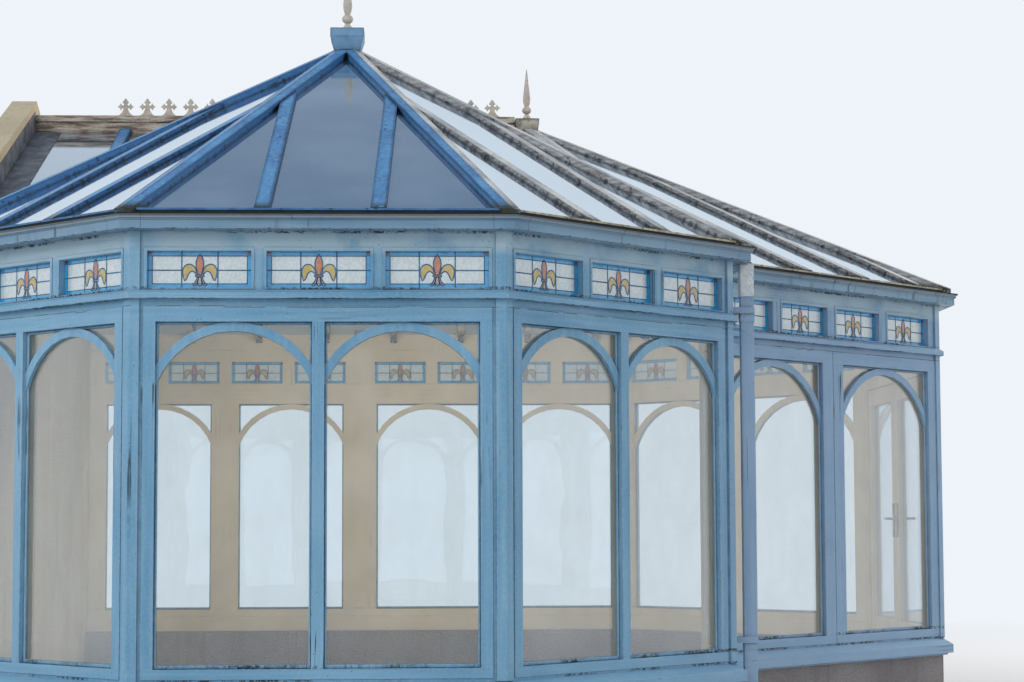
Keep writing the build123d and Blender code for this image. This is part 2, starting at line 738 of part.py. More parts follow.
def ridge(foot, top, trim_foot, trim_top):
    """A board that stands between both slopes, under a wider cap."""
    length = hypot(top[0] - foot[0], top[1] - foot[1])
    ux, uy = (top[0] - foot[0]) / length, (top[1] - foot[1]) / length
    start = (foot[0] + ux * trim_foot, foot[1] + uy * trim_foot)
    end = (top[0] - ux * trim_top, top[1] - uy * trim_top)
    board = column(ribbon(start, end, ridge_width / 2), ridge_height - hip_rafter_depth, ridge_height + ridge_board)
    cap = column(ribbon(start, end, ridge_cap_width / 2), ridge_height + ridge_board,
                 ridge_height + ridge_board + ridge_cap)
    return board.fuse(cap)


front_box = apex_box(front_apex, front_box_width, front_box_top)
main_box = apex_box(main_apex, main_box_width, main_box_top)
save("apex_boxes", front_box, main_box)
main_ridge = ridge(ridge_left, main_apex, 0, apex_boss_radius)
front_ridge = ridge(front_apex, ridge_meeting, apex_boss_radius, ridge_width / 2).cut(main_ridge, front_box)
save("main_ridge", main_ridge)
save("front_ridge", front_ridge)

for group, names in (("front_bay", FRONT_SLOPES), ("main_bay", MAIN_SLOPES)):
    save("roof_bars_" + group, *[bar for name in names for bar in roof_bars(name)])
    panes = [pane for name in names for pane in roof_panes(name)]
    save("roof_glass_" + group, *[pane.cut(front_box, main_box, nodes["party_wall"][0]) for pane in panes])

hip_layers = ((hip_rafter_width, -roof_glass_thickness - hip_rafter_depth, -roof_glass_thickness, HIP_RAFTER_INSET),
              (hip_web, -roof_glass_thickness, 0, HIP_INSET), (hip_width, 0, hip_cap_height, HIP_INSET))
hips = []
for number, top, left, right in ((1, front_apex, "left_return", "front_left"),
                                 (2, front_apex, "front_left", "front"),
                                 (3, front_apex, "front", "front_right"),
                                 (4, front_apex, "front_right", "right_return"),
                                 (5, main_apex, "inner_right", "side_front"),
                                 (6, main_apex, "side_front", "door_side"),
                                 (7, main_apex, "door_side", "side_rear"),
                                 (8, main_apex, "side_rear", "rear")):
    hips.append(hip(corners[number], top, left, right, hip_layers).cut(front_box, main_box, *posts))
save("roof_hips", *hips)

valley_layers = ((valley_width, -roof_glass_thickness - valley_lining, -roof_glass_thickness, VALLEY_INSET),)
valleys = [hip(corners[5], ridge_meeting, "right_return", "inner_right", valley_layers),
           hip((left_end_x, reentrant_y), ridge_meeting, "inner_left", "left_return", valley_layers)]
save("roof_valleys", *[valley.cut(main_ridge, front_ridge, *nodes["return_window_frames"]) for valley in valleys])


def finial(centre, base):
    """A turned finial: a flared foot, a neck, a ring, and a spindle that tapers to a point."""
    shares = ((0.5, 0), (0.24, 0.08), (0.45, 0.16), (0.28, 0.22), (0.5, 0.36), (0.26, 0.62), (0.04, 1))
    return turned(centre, finial_sides, [(width * finial_width, base + up * finial_height) for width, up in shares])


save("finials", finial(front_apex, ridge_height + front_box_top), finial(main_apex, ridge_height + main_box_top))


def cresting(foot, top, trim_foot, trim_top):
    """A cut board of linked crosses on a low rail, one every pitch."""
    length = hypot(top[0] - foot[0], top[1] - foot[1]) - trim_foot - trim_top
    ux, uy = (top[0] - foot[0]), (top[1] - foot[1])
    size = hypot(ux, uy)
    ux, uy = ux / size, uy / size
    origin = (foot[0] + ux * trim_foot, foot[1] + uy * trim_foot, ridge_height + ridge_board + ridge_cap)
    plane = Plane(origin=origin, x_dir=(ux, uy, 0), z_dir=(uy, -ux, 0)).offset(-crest_thickness / 2)
    count = round(length / crest_pitch)
    step = length / count
    # Half a cross, as shares of its height: skirt, post, arm with its lobes, and arrow head.
    half = ((0.50, 0.05), (0.16, 0.20), (0.07, 0.51), (0.25, 0.52), (0.29, 0.42), (0.42, 0.56), (0.29, 0.70),
            (0.25, 0.60), (0.07, 0.61), (0.18, 0.74), (0, 1))
    outline = [(0, 0)]
    for i in range(count):
        middle = step * (i + 0.5)
        outline += [(middle - across * crest_height, up * crest_height) for across, up in half]
        outline += [(middle + across * crest_height, up * crest_height) for across, up in half[-2::-1]]
    outline += [(step * count, 0)]
    face = Face(Wire.make_polygon([plane.from_local_coords(Vector(across, up, 0)) for across, up in outline]))
    return Solid.extrude(face, plane.z_dir * crest_thickness)


save("ridge_cresting",
     cresting(ridge_left, main_apex, crest_start, main_box_width),
     cresting(front_apex, ridge_meeting, front_box_width, ridge_cap_width))

# Lead flashing against the party wall

flashings = []
flashing_inset = {"eave": 0, "hip": 0, "valley": 0, "ridge": ridge_cap_width / 2, "party": 0}
for name in ("inner_left", "rear"):
    height, edges = slopes[name]["height"], slope_edges(slopes[name], flashing_inset)
    wings = []
    for width, high in ((flashing_width, flashing_thickness), (flashing_thickness, flashing_upstand)):
        x0, x1 = left_end_x, left_end_x + width
        plan = inside([(x0, reentrant_y), (x1, reentrant_y), (x1, rear_y), (x0, rear_y)], edges)
        wings.append(slab(plan, height, 0, high))
    flashings.append(wings[0].fuse(wings[1]))
save("lead_flashing", *flashings)

# Downpipe at the front of the right return

pipe_x0 = return_x + pipe_gap
pipe_y0 = diagonal + pipe_from_corner


def pipe_section(proud, low, high):
    x0, y0 = pipe_x0 - proud, pipe_y0 - proud
    x1, y1 = pipe_x0 + pipe_size + proud, pipe_y0 + pipe_size + proud
    return column([(x0, y0), (x1, y0), (x1, y1), (x0, y1)], low, high)


def pipe_clip(level):
    x0, x1 = return_x - frame_recess, pipe_x0 + pipe_size + pipe_collar
    y0, y1 = pipe_y0 - pipe_clip_reach, pipe_y0 + pipe_size + pipe_clip_reach
    return column([(x0, y0), (x1, y0), (x1, y1), (x0, y1)], level, level + pipe_clip_height)


outlet_foot = gutter_foot - pipe_outlet
pipe = pipe_section(0, 0, gutter_foot)
collars = [pipe_section(pipe_collar, outlet_foot, gutter_foot),
           pipe_section(pipe_collar, outlet_foot - 2 * pipe_collar_height, outlet_foot - pipe_collar_height)]
clips = [pipe_clip(sill_top + pipe_from_corner), pipe_clip(drip_rail_top + light_sill)]
save("downpipe", pipe.fuse(*collars, *clips))

os.makedirs("parts", exist_ok=True)
shift = Location((-origin_x, -origin_y, 0))
for name, solids in nodes.items():
    moved = [solid.moved(shift) for solid in solids]
    shape = moved[0] if len(moved) == 1 else Compound(children=moved)
    export_step(shape, os.path.join("parts", name + ".step"))
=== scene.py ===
import bpy
import math
from mathutils import Matrix, Vector


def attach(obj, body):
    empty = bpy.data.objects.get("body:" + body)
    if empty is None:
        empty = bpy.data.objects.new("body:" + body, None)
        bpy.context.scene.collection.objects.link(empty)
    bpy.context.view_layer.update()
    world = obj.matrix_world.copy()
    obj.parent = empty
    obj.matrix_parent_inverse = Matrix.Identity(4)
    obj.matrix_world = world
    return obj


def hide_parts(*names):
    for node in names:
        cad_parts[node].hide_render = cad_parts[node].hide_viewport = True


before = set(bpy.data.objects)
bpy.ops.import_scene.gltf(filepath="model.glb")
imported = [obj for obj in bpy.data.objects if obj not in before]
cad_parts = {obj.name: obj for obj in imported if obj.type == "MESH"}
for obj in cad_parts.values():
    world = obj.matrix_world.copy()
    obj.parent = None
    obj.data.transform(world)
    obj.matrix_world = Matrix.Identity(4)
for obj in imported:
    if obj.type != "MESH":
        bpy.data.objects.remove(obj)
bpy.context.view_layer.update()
bpy.ops.object.select_all(action='DESELECT')
print("frame loaded,", len(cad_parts), "nodes")

# camera, floor and light

cameraSettings = dict(
    place=(-0.2938, -13.1132, 1.211), focal=80.28, sensor=36, farthest=400,
    yaw=0.0401,      # radians, to the right of straight on
    pitch=0.0794, roll=-0.0035,
)

studioSettings = dict(
    floorSize=120.0, floorTone=(0.62, 0.63, 0.64), floorRough=0.9,
    floorFades=(5.0, 16.0),         # metres from the middle, where the floor turns into the backdrop
    skyLow=(0.90, 0.93, 0.96),      # light near the horizon
    skyHigh=(0.50, 0.62, 0.80),     # light overhead
    skyTurns=(0.55, 0.82),          # the rise of a ray between the two
    skyPower=0.86,
    backdrop=(0.86, 0.90, 0.95),    # also what glass and metal mirror
    backdropHigh=(0.115, 0.20, 0.32),
    keyLamp=dict(place=(-9.0, -13.0, 9.0), power=620.0, size=7.0, tone=(1.0, 1.0, 1.0),
                 aim=(0, 0, 1.8)),
    rimLamp=dict(place=(13.0, 9.5, 8.5), power=1700.0, size=3.0, tone=(1.0, 0.86, 0.68),
                 aim=(0, 0, 1.8)),
    roomLamp=dict(place=(-0.5, 0.2, 2.35), power=46.0, size=2.4, tone=(1.0, 0.92, 0.80),
                  aim=(-0.2, 1.6, 0.6)),      # soft light inside, under the roof
)


def newObject(name, data):
    piece = bpy.data.objects.new(name, data)
    bpy.context.scene.collection.objects.link(piece)
    return piece


def addCamera(s):
    camera = bpy.data.cameras.new("photoCamera")
    camera.lens = s["focal"]
    camera.sensor_width = s["sensor"]
    camera.clip_end = s["farthest"]
    holder = newObject("photoCamera", camera)
    yaw, pitch, roll = s["yaw"], s["pitch"], s["roll"]
    level = Vector((math.cos(yaw), -math.sin(yaw), 0))
    ahead = Vector((math.sin(yaw) * math.cos(pitch), math.cos(yaw) * math.cos(pitch), math.sin(pitch)))
    above = level.cross(ahead)
    right = level * math.cos(roll) + above * math.sin(roll)
    up = above * math.cos(roll) - level * math.sin(roll)
    turn = Matrix((right, up, -ahead)).transposed().to_4x4()
    holder.matrix_world = Matrix.Translation(Vector(s["place"])) @ turn
    bpy.context.scene.camera = holder


def addLamp(name, s):
    lamp = bpy.data.lights.new(name, 'AREA')
    lamp.energy = s["power"]
    lamp.size = s["size"]
    lamp.color = s["tone"]
    holder = newObject(name, lamp)
    holder.visible_camera = False
    holder.visible_glossy = False
    place = Vector(s["place"])
    turn = (Vector(s["aim"]) - place).to_track_quat('-Z', 'Y').to_matrix().to_4x4()
    holder.matrix_world = Matrix.Translation(place) @ turn


# short calls for shader nodes


def put(kind, inputs, out=0, near=None, **options):      # a socket says which tree the node goes to
    linked = [value for value in inputs.values() if isinstance(value, bpy.types.NodeSocket)]
    tree = (near or linked[0]).id_data
    node = tree.nodes.new("ShaderNode" + kind)
    for key, value in options.items():
        setattr(node, key, value)
    for key, value in inputs.items():
        socket = node.inputs[key]
        if isinstance(value, bpy.types.NodeSocket):
            tree.links.new(value, socket)
        elif socket.type == 'RGBA':
            socket.default_value = (value[0], value[1], value[2], 1)
        else:
            socket.default_value = value
    return node.outputs[out]


def newMaterial(name):
    mat = bpy.data.materials.new(name)
    mat.use_nodes = True
    place = put("TexCoord", {}, 3, mat.node_tree)
    return mat, place


def tone(r, g, b):      # the light that an 8-bit colour stands for
    return tuple(((c / 255 + 0.055) / 1.055) ** 2.4 if c > 10 else c / 255 / 12.92 for c in (r, g, b))


def stretched(place, x, y, z):
    return put("VectorMath", {0: place, 1: (x, y, z)}, operation='MULTIPLY')


def clouds(place, scale, detail=3, rough=0.55):      # three scales stretch the noise
    if isinstance(scale, tuple):
        place, scale = stretched(place, *scale), 1.0
    return put("TexNoise", {"Vector": place, "Scale": scale, "Detail": detail, "Roughness": rough})


def spanned(value, low, high, toLow=0.0, toHigh=1.0):
    return put("MapRange",
               {"Value": value, "From Min": low, "From Max": high, "To Min": toLow, "To Max": toHigh})


def maths(operation, a, b=0.0):
    return put("Math", {0: a, 1: b}, operation=operation)


def times(a, b):
    return maths('MULTIPLY', a, b)


def less(a, b):
    return maths('SUBTRACT', a, b)


def most(*shares):
    whole = shares[0]
    for share in shares[1:]:
        whole = maths('MAXIMUM', whole, share)
    return whole


def mixTone(share, a, b):
    return put("Mix", {0: share, 6: a, 7: b}, 2, data_type='RGBA')


def mixValue(share, a, b):
    return put("Mix", {0: share, 2: a, 3: b}, 0)


def mixShader(share, a, b):
    return put("MixShader", {0: share, 1: a, 2: b})


def axisOf(vector, axis):
    return put("SeparateXYZ", {0: vector}, axis)


def showShader(shader):      # in place of the plain one, or over it
    nodes = shader.id_data.nodes
    shader.id_data.links.new(shader, nodes["Material Output"].inputs["Surface"])
    if not nodes["Principled BSDF"].outputs[0].is_linked:
        nodes.remove(nodes["Principled BSDF"])


def plainRays(near):      # 1 for rays from the camera, a mirror or glass, 0 for those that carry light
    path = near.id_data.nodes.new("ShaderNodeLightPath")
    kinds = ("Is Camera Ray", "Is Glossy Ray", "Is Transmission Ray")
    return most(*[path.outputs[kind] for kind in kinds])


def addFloor(s):
    bpy.ops.mesh.primitive_plane_add(size=s["floorSize"])
    floor = bpy.context.object
    floor.name = "studioFloor"
    mat, place = newMaterial("studioFloor")
    shader = mat.node_tree.nodes["Principled BSDF"]
    shader.inputs["Base Color"].default_value = (*s["floorTone"], 1)
    shader.inputs["Roughness"].default_value = s["floorRough"]
    away = put("VectorMath", {0: place}, 1, operation='LENGTH')
    faded = times(plainRays(place), spanned(away, *s["floorFades"]))
    far = put("Emission", {"Color": s["backdrop"]}, 0, place)
    showShader(mixShader(faded, shader.outputs[0], far))
    floor.data.materials.append(mat)


def addSky(s):
    world = bpy.data.worlds.new("studioSky")
    world.use_nodes = True
    tree = world.node_tree
    up = axisOf(put("TexCoord", {}, 0, tree), 2)
    height = spanned(up, *s["skyTurns"])
    low, high = [[c * s["skyPower"] for c in s[key]] for key in ("skyLow", "skyHigh")]
    mirrored = mixTone(height, s["backdrop"], s["backdropHigh"])
    sky = mixTone(plainRays(tree), mixTone(height, low, high), mirrored)
    tree.links.new(sky, tree.nodes["Background"].inputs["Color"])
    bpy.context.scene.world = world


addCamera(cameraSettings)
addFloor(studioSettings)
addSky(studioSettings)
for lampName in ("keyLamp", "rimLamp", "roomLamp"):
    addLamp(lampName, studioSettings[lampName])
bpy.context.scene.view_settings.view_transform = 'Standard'
print("camera, floor and light ready")

# the outer wall line in metres, walked so that the outside is on the right

lineShift = (0.72957, 3.40682)      # from the drawing's middle to the frame's
wallCorners = [(x / 1000 - lineShift[0], y / 1000 - lineShift[1]) for x, y in (
    (-1931.37, 1801.37), (-1931.37, 1131.37), (-800, 0), (800, 0), (1931.37, 1131.37), (1931.37, 1861.37),
    (3437.51, 3367.51), (3437.51, 5307.51), (1931.37, 6813.65), (-1931.37, 6813.65))]
frontWalls = (0, 1, 2, 3, 4)      # left return, front left, front, front right, right return
mainWalls = (5, 6, 7, 8)          # side front, door wall, side rear, rear
doorWall, rearWall = 6, 8
frontApex = Vector((-0.66957, -1.47545, 0))
mainApex = Vector((0.36613, 0.93068, 0))
ridgeLeft = Vector((-2.66094, 0.93068, 0))
ridgeMeeting = Vector((-0.66957, 0.93068, 0))

openingSettings = dict(      # margin at the corners, gap between two, and how many
    returns=dict(windows=(0.110, 0, 1), lights=(0.072, 0, 1)),
    front=dict(windows=(0.110, 0.053, 2), lights=(0.072, 0.065, 3)),
    main=dict(windows=(0.118, 0.194, 2), lights=(0.105, 0.086, 4)),
    kinds=("returns", "front", "front", "front", "returns", "main", "main", "main", "main"),
)


def wallLine(wall):      # start, direction and length
    ax, ay = wallCorners[wall]
    bx, by = wallCorners[wall + 1]
    length = math.hypot(bx - ax, by - ay)
    return ax, ay, (bx - ax) / length, (by - ay) / length, length


def onWall(wall, along, outward, height):    # x runs along the wall, y up, z outward
    ax, ay, dx, dy, length = wallLine(wall)
    turn = Matrix(((dx, 0, dy), (dy, 0, -dx), (0, 1, 0))).to_4x4()
    spot = Vector((ax + dx * along + dy * outward, ay + dy * along - dx * outward, height))
    return Matrix.Translation(spot) @ turn


def openings(wall, part, s):      # middle along the wall and width of each
    margin, gap, count = s[s["kinds"][wall]][part]
    bays = 2 if wall == rearWall else 1
    length = wallLine(wall)[4] / bays
    width = (length - 2 * margin - gap * (count - 1)) / count
    return [(length * bay + margin + width / 2 + (width + gap) * i, width)
            for bay in range(bays) for i in range(count)]


lightsOf = {wall: openings(wall, "lights", openingSettings) for wall in frontWalls + mainWalls}
windowsOf = {wall: openings(wall, "windows", openingSettings) for wall in frontWalls + mainWalls}
windowsOf[doorWall] = []

# marks that several finishes share; a mark is scale, from, to, least, full, detail, roughness


def patches(place, scale, low, high, least=0.0, full=1.0, detail=3, rough=0.55):
    return spanned(clouds(place, scale, detail, rough), low, high, least, full)


def bands(value, *spans):      # 1 where the value lies in one of the spans
    whole = None
    for low, high in spans:
        span = {0: value, 1: (low + high) / 2, 2: (high - low) / 2}
        inBand = put("Math", span, operation='COMPARE')
        whole = most(whole, inBand) if whole else inBand
    return whole


def hairlines(place, stretch, width):      # long thin wandering lines
    wave = clouds(stretched(place, *stretch), 3.0, 3, 0.5)
    return spanned(maths('ABSOLUTE', less(wave, 0.5)), width * 0.4, width, 1, 0)


def facing(place, axis):
    return axisOf(put("NewGeometry", {}, 1, place), axis)


def wornEdges(place, radius, spread=0.88):      # a spread near 1 takes in more of the edge
    softened = put("Bevel", {"Radius": radius}, 0, place, samples=2)
    plain = put("NewGeometry", {}, 1, place)
    same = put("VectorMath", {0: softened, 1: plain}, 1, operation='DOT_PRODUCT')
    return spanned(same, spread, 0.5 + spread / 2, 1, 0)


def openness(place, reach, samples):      # 1 on open faces, less in a corner
    return put("AmbientOcclusion", {"Distance": reach}, 1, place, samples=samples)


def shadedCorners(place, reach, share=1.0, low=0.42, high=0.80):      # painted shade: darker where ambient occlusion finds corners, creases and hollows
    shaded = spanned(openness(place, reach, 2), low, high, 1, 0)
    return shaded if share == 1.0 else times(shaded, share)


def specks(place, scale, size):
    dots = put("TexVoronoi", {"Vector": place, "Scale": scale})
    return spanned(dots, size * 0.5, size, 1, 0)


def layered(colour, *layers):      # each layer is a share and the tone that it brings
    for share, shade in layers:
        colour = mixTone(share, colour, shade)
    return colour


def raised(height, relief):
    return put("Bump", {"Height": height, "Strength": relief[0], "Distance": relief[1]})


def coat(mat, colour, roughness, relief, s):
    inputs, links = mat.node_tree.nodes["Principled BSDF"].inputs, mat.node_tree.links
    links.new(colour, inputs["Base Color"])
    if isinstance(roughness, float):
        inputs["Roughness"].default_value = roughness
    else:
        links.new(roughness, inputs["Roughness"])
    links.new(raised(relief, s["relief"]), inputs["Normal"])
    return mat


insideSettings = dict(
    depth=0.0445,       # from the outer face of the walls to the glass
    bays=((frontWalls, -1.487, 1), (mainWalls, -1.627, -1)),      # where a bay's walls end along y
)


def behindGlass(place, s):      # 1 on the inner half of the walls
    along = axisOf(place, 1)
    nearest = None
    for walls, end, way in s["bays"]:
        outside = times(less(along, end), way)
        for wall in walls:
            ax, ay, dx, dy, length = wallLine(wall)
            across = {0: place, 1: (dy, -dx, 0)}
            out = put("VectorMath", across, 1, operation='DOT_PRODUCT')
            outside = most(outside, less(out, ax * dy - ay * dx))
        nearest = maths('MINIMUM', nearest, outside) if nearest else outside
    return maths('LESS_THAN', nearest, -s["depth"])


# paint on the walls' timber

paintSettings = dict(
    deep=tone(94, 146, 178), light=tone(122, 169, 197), chalk=tone(166, 198, 214),
    bare=tone(206, 198, 180),      # primer and old wood at the edges, also a painted highlight along them
    # the dirt tone also paints the shade in the corners
    dirt=tone(38, 42, 44),
    east=tone(152, 172, 198),      # faded towards the right
    stain=tone(176, 200, 210),     # paler under the gutter: painted light that lifts the gutter's shadow, patchy like a stain
    inside=tone(236, 221, 192), insideDeep=tone(220, 202, 168),
    rails=((0.45, 0.600), (2.068, 2.204), (2.371, 2.60)),      # heights where the grain runs level
    ledges=((0.545, 0.555), (0.600, 0.6155), (2.164, 2.168), (2.2035, 2.2185), (2.447, 2.460)),
    eastSpan=(0.9, 1.5, 0, 0.55), frieze=(2.350, 2.395, 0, 0.9), coats=(1.2, 0.34, 0.66),
    brushUp=(30, 30, 1.4), brushLevel=(1.4, 1.4, 34), streaks=(0.40, 0.72, 0, 0.32),
    bloom=(85, 0.48, 0.72, 0, 0.26, 3, 0.7), stains=(4, 0.28, 0.50, 0, 1, 4), insideCoats=(2.6, 0.35, 0.65),
    edges=(0.005, 0.95), chipsAndHighlights=(46, 0.50, 0.58, 0, 1, 4, 0.7), chipsAndHighlightShare=0.75, grainUp=(9, 9, 0.16),
    grainLevel=(0.14, 0.14, 11), crack=0.016, levelCracks=0.35, cracked=(2.4, 0.54, 0.62, 0, 0.85),
    seams=((2.1282, 2.1308), (2.1340, 2.1366)),      # the stepped joint in the rail over the windows
    seamSteps=((2.2, 2.2, 0), 0.47, 0.475, 0, 1, 2), seamPieces=((5, 5, 0), 0.44, 0.48, 0, 0.85, 2),
    mould=(52, 0.46, 0.53, 0, 1, 4, 0.75), mouldy=(3.2, 0.46, 0.56, 0.06, 0.9, 4), corner=(0.018,),
    cornerShade=(11, 0.36, 0.60, 0.06, 0.42, 3, 0.6), flecks=(42, 0.13), flecked=(4.2, 0.52, 0.60, 0, 0.8),
    dirtInside=0.22, roughness=(9, 0.3, 0.7, 0.34, 0.62), dirtRough=0.85, relief=(0.55, 0.0018),
    brushShare=0.25,
)


def agedPaint(name, s):
    mat, place = newMaterial(name)
    height = axisOf(place, 2)
    rails = bands(height, *s["rails"])
    inner = behindGlass(place, insideSettings)
    # coats of paint, cream inside, with chips and a painted highlight at the edges
    brushed = mixValue(rails, clouds(place, s["brushUp"]), clouds(place, s["brushLevel"]))
    # painted light on the frieze under the gutter, in patches like a stain, where the gutter shades it
    friezeLightAndStain = times(spanned(height, *s["frieze"]), patches(place, *s["stains"]))
    cream = mixTone(patches(place, *s["insideCoats"]), s["insideDeep"], s["inside"])
    chipsAndHighlights = times(wornEdges(place, *s["edges"]), patches(place, *s["chipsAndHighlights"]))
    paint = layered(mixTone(patches(place, *s["coats"]), s["deep"], s["light"]),
                    (spanned(brushed, *s["streaks"]), s["chalk"]),
                    (patches(place, *s["bloom"]), s["chalk"]),
                    (spanned(axisOf(place, 0), *s["eastSpan"]), s["east"]),
                    (friezeLightAndStain, s["stain"]),
                    (inner, cream),
                    (times(chipsAndHighlights, s["chipsAndHighlightShare"]), s["bare"]))
    # cracks along the grain and the joint in the rail
    level = times(hairlines(place, s["grainLevel"], s["crack"]), s["levelCracks"])
    lines = mixValue(rails, hairlines(place, s["grainUp"], s["crack"]), level)
    lines = times(lines, patches(place, *s["cracked"]))
    low, high = [bands(height, span) for span in s["seams"]]
    seam = mixValue(patches(place, *s["seamSteps"]), low, high)
    seam = times(seam, patches(place, *s["seamPieces"]))
    # mould on the ledges, painted shade in the corners broken into patches, and flecks
    mould = times(bands(height, *s["ledges"]), patches(place, *s["mould"]))
    mould = times(mould, patches(place, *s["mouldy"]))
    cornerShade = times(shadedCorners(place, *s["corner"]), patches(place, *s["cornerShade"]))
    flecks = times(specks(place, *s["flecks"]), patches(place, *s["flecked"]))
    dirt = most(lines, mould, cornerShade, flecks, seam)
    dirt = times(dirt, mixValue(inner, 1.0, s["dirtInside"]))
    rough = mixValue(dirt, patches(place, *s["roughness"]), s["dirtRough"])
    relief = less(times(brushed, s["brushShare"]), most(lines, chipsAndHighlights))
    return coat(mat, mixTone(dirt, paint, s["dirt"]), rough, relief, s)


# roof bars and hips: blue in front and on the left, bare grey wood on the slopes that face right,
# black beside the glass from tar and painted shade, and cream underneath

roofPaintSettings = dict(
    deep=tone(56, 116, 170), light=tone(92, 152, 200), chalk=tone(146, 186, 214), grey=tone(134, 144, 150),
    greyLight=tone(208, 208, 202), bleached=tone(182, 184, 184), sooty=tone(136, 133, 131),
    tar=tone(20, 22, 24), rust=tone(92, 66, 50), under=tone(214, 206, 190), moss=tone(46, 48, 26),
    facesRight=(0.10, 0.25), facesRear=(0.15, 0.30, 1, 0), facesUp=(0.45, 0.65),
    facesDown=(-0.30, -0.15, 1, 0),
    hipStart=-1.4754,      # along y, where the hip between front and right slopes begins
    hipSlant=0.3831, rightSpan=(-0.64, -0.61), fine=(55, 4, 0.7), broad=(4.5, 3, 0.6),
    blueCoats=(0.36, 0.64), chalky=(0.50, 0.66, 0, 0.55), greyCoats=(0.36, 0.60),
    rusty=(0.56, 0.66, 0, 0.5), tarShadeReach=(0.032, 4), tarNoise=(38, 0.3, 0.7, -0.10, 0.10, 4, 0.75),
    tarShadeSpan=(0.68, 0.76), streaks=((9, 9, 60), 0.40, 0.62, 0, 1, 3, 0.6), edges=(0.020, 0.97),
    edgeNoise=(34, 0.3, 0.7, -0.55, 0.45, 4, 0.75), edgeSpan=(0.45, 0.60),
    peeling=(0.95, 0.45),      # on the blue and on the grey wood
    flakes=(30, 0.22), flaked=(6, 0.50, 0.58, 0, 1, 4), dampSpan=(2.556, 2.590, 1, 0), mossy=(0.34, 0.48),
    roughness=(0.3, 0.7, 0.32, 0.55), dirtRough=0.9, relief=(0.6, 0.003), flakeShare=0.8, fineShare=0.4,
)


def roofPaint(name, s):
    mat, place = newMaterial(name)
    x, y, height = [axisOf(place, axis) for axis in range(3)]
    up = facing(place, 2)
    east = spanned(facing(place, 0), *s["facesRight"])
    hipLine = times(most(less(s["hipStart"], y), 0.0), s["hipSlant"])
    right = spanned(less(x, hipLine), *s["rightSpan"])
    away = times(right, spanned(facing(place, 1), *s["facesRear"]))
    fine = clouds(place, *s["fine"])
    broad = clouds(place, *s["broad"])
    # tops
    blue = layered(s["deep"], (spanned(broad, *s["blueCoats"]), s["light"]),
                   (spanned(fine, *s["chalky"]), s["chalk"]))
    grey = layered(s["grey"], (spanned(broad, *s["greyCoats"]), s["greyLight"]),
                   (spanned(fine, *s["rusty"]), s["rust"]))
    top = mixTone(most(east, away), blue, grey)
    # sides: tar and painted shade at the foot, where ambient occlusion finds the crease by the glass
    oldWood = mixTone(patches(place, *s["streaks"]), s["bleached"], s["sooty"])
    near = maths('ADD', openness(place, *s["tarShadeReach"]), patches(place, *s["tarNoise"]))
    bare = mixTone(right, s["deep"], oldWood)
    sides = mixTone(spanned(near, *s["tarShadeSpan"]), s["tar"], bare)
    colour = mixTone(spanned(up, *s["facesUp"]), sides, top)
    # ragged edges, flakes, undersides and moss at the foot
    ragged = maths('ADD', wornEdges(place, *s["edges"]), patches(place, *s["edgeNoise"]))
    ragged = spanned(ragged, *s["edgeSpan"])
    ragged = times(ragged, mixValue(most(east, right), *s["peeling"]))
    flakes = times(specks(place, *s["flakes"]), patches(place, *s["flaked"]))
    dirt = most(ragged, times(flakes, s["flakeShare"]))
    damp = times(spanned(height, *s["dampSpan"]), spanned(fine, *s["mossy"]))
    colour = layered(colour, (dirt, s["tar"]), (spanned(up, *s["facesDown"]), s["under"]), (damp, s["moss"]))
    rough = mixValue(dirt, spanned(broad, *s["roughness"]), s["dirtRough"])
    relief = less(times(fine, s["fineShare"]), dirt)
    return coat(mat, colour, rough, relief, s)


# the bead at the foot of the roof glass: blue, with cream painted sunlight on the sides that face right

beadSettings = dict(
    blue=tone(48, 104, 158), blueLight=tone(84, 138, 182), cream=tone(214, 202, 172),
    creamDeep=tone(160, 150, 128), dirt=tone(24, 26, 28), facesRight=(0.10, 0.25), broad=(12, 3, 0.6),
    coats=(0.38, 0.62), dirty=(48, 0.56, 0.64, 0, 0.8, 4, 0.7), roughness=(0.3, 0.7, 0.35, 0.60),
    relief=(0.3, 0.001), bumps=70,
)


def beadPaint(name, s):
    mat, place = newMaterial(name)
    broad = clouds(place, *s["broad"])
    coats = spanned(broad, *s["coats"])
    blue = mixTone(coats, s["blue"], s["blueLight"])
    cream = mixTone(coats, s["cream"], s["creamDeep"])
    # painted sunlight: faces that turn right are cream
    east = spanned(facing(place, 0), *s["facesRight"])
    colour = layered(blue, (east, cream), (patches(place, *s["dirty"]), s["dirt"]))
    return coat(mat, colour, spanned(broad, *s["roughness"]), clouds(place, s["bumps"]), s)


# gutters: a pale dirty lip over a broad blue band, with painted shade in the grooves, along the top edge and
# in the corners

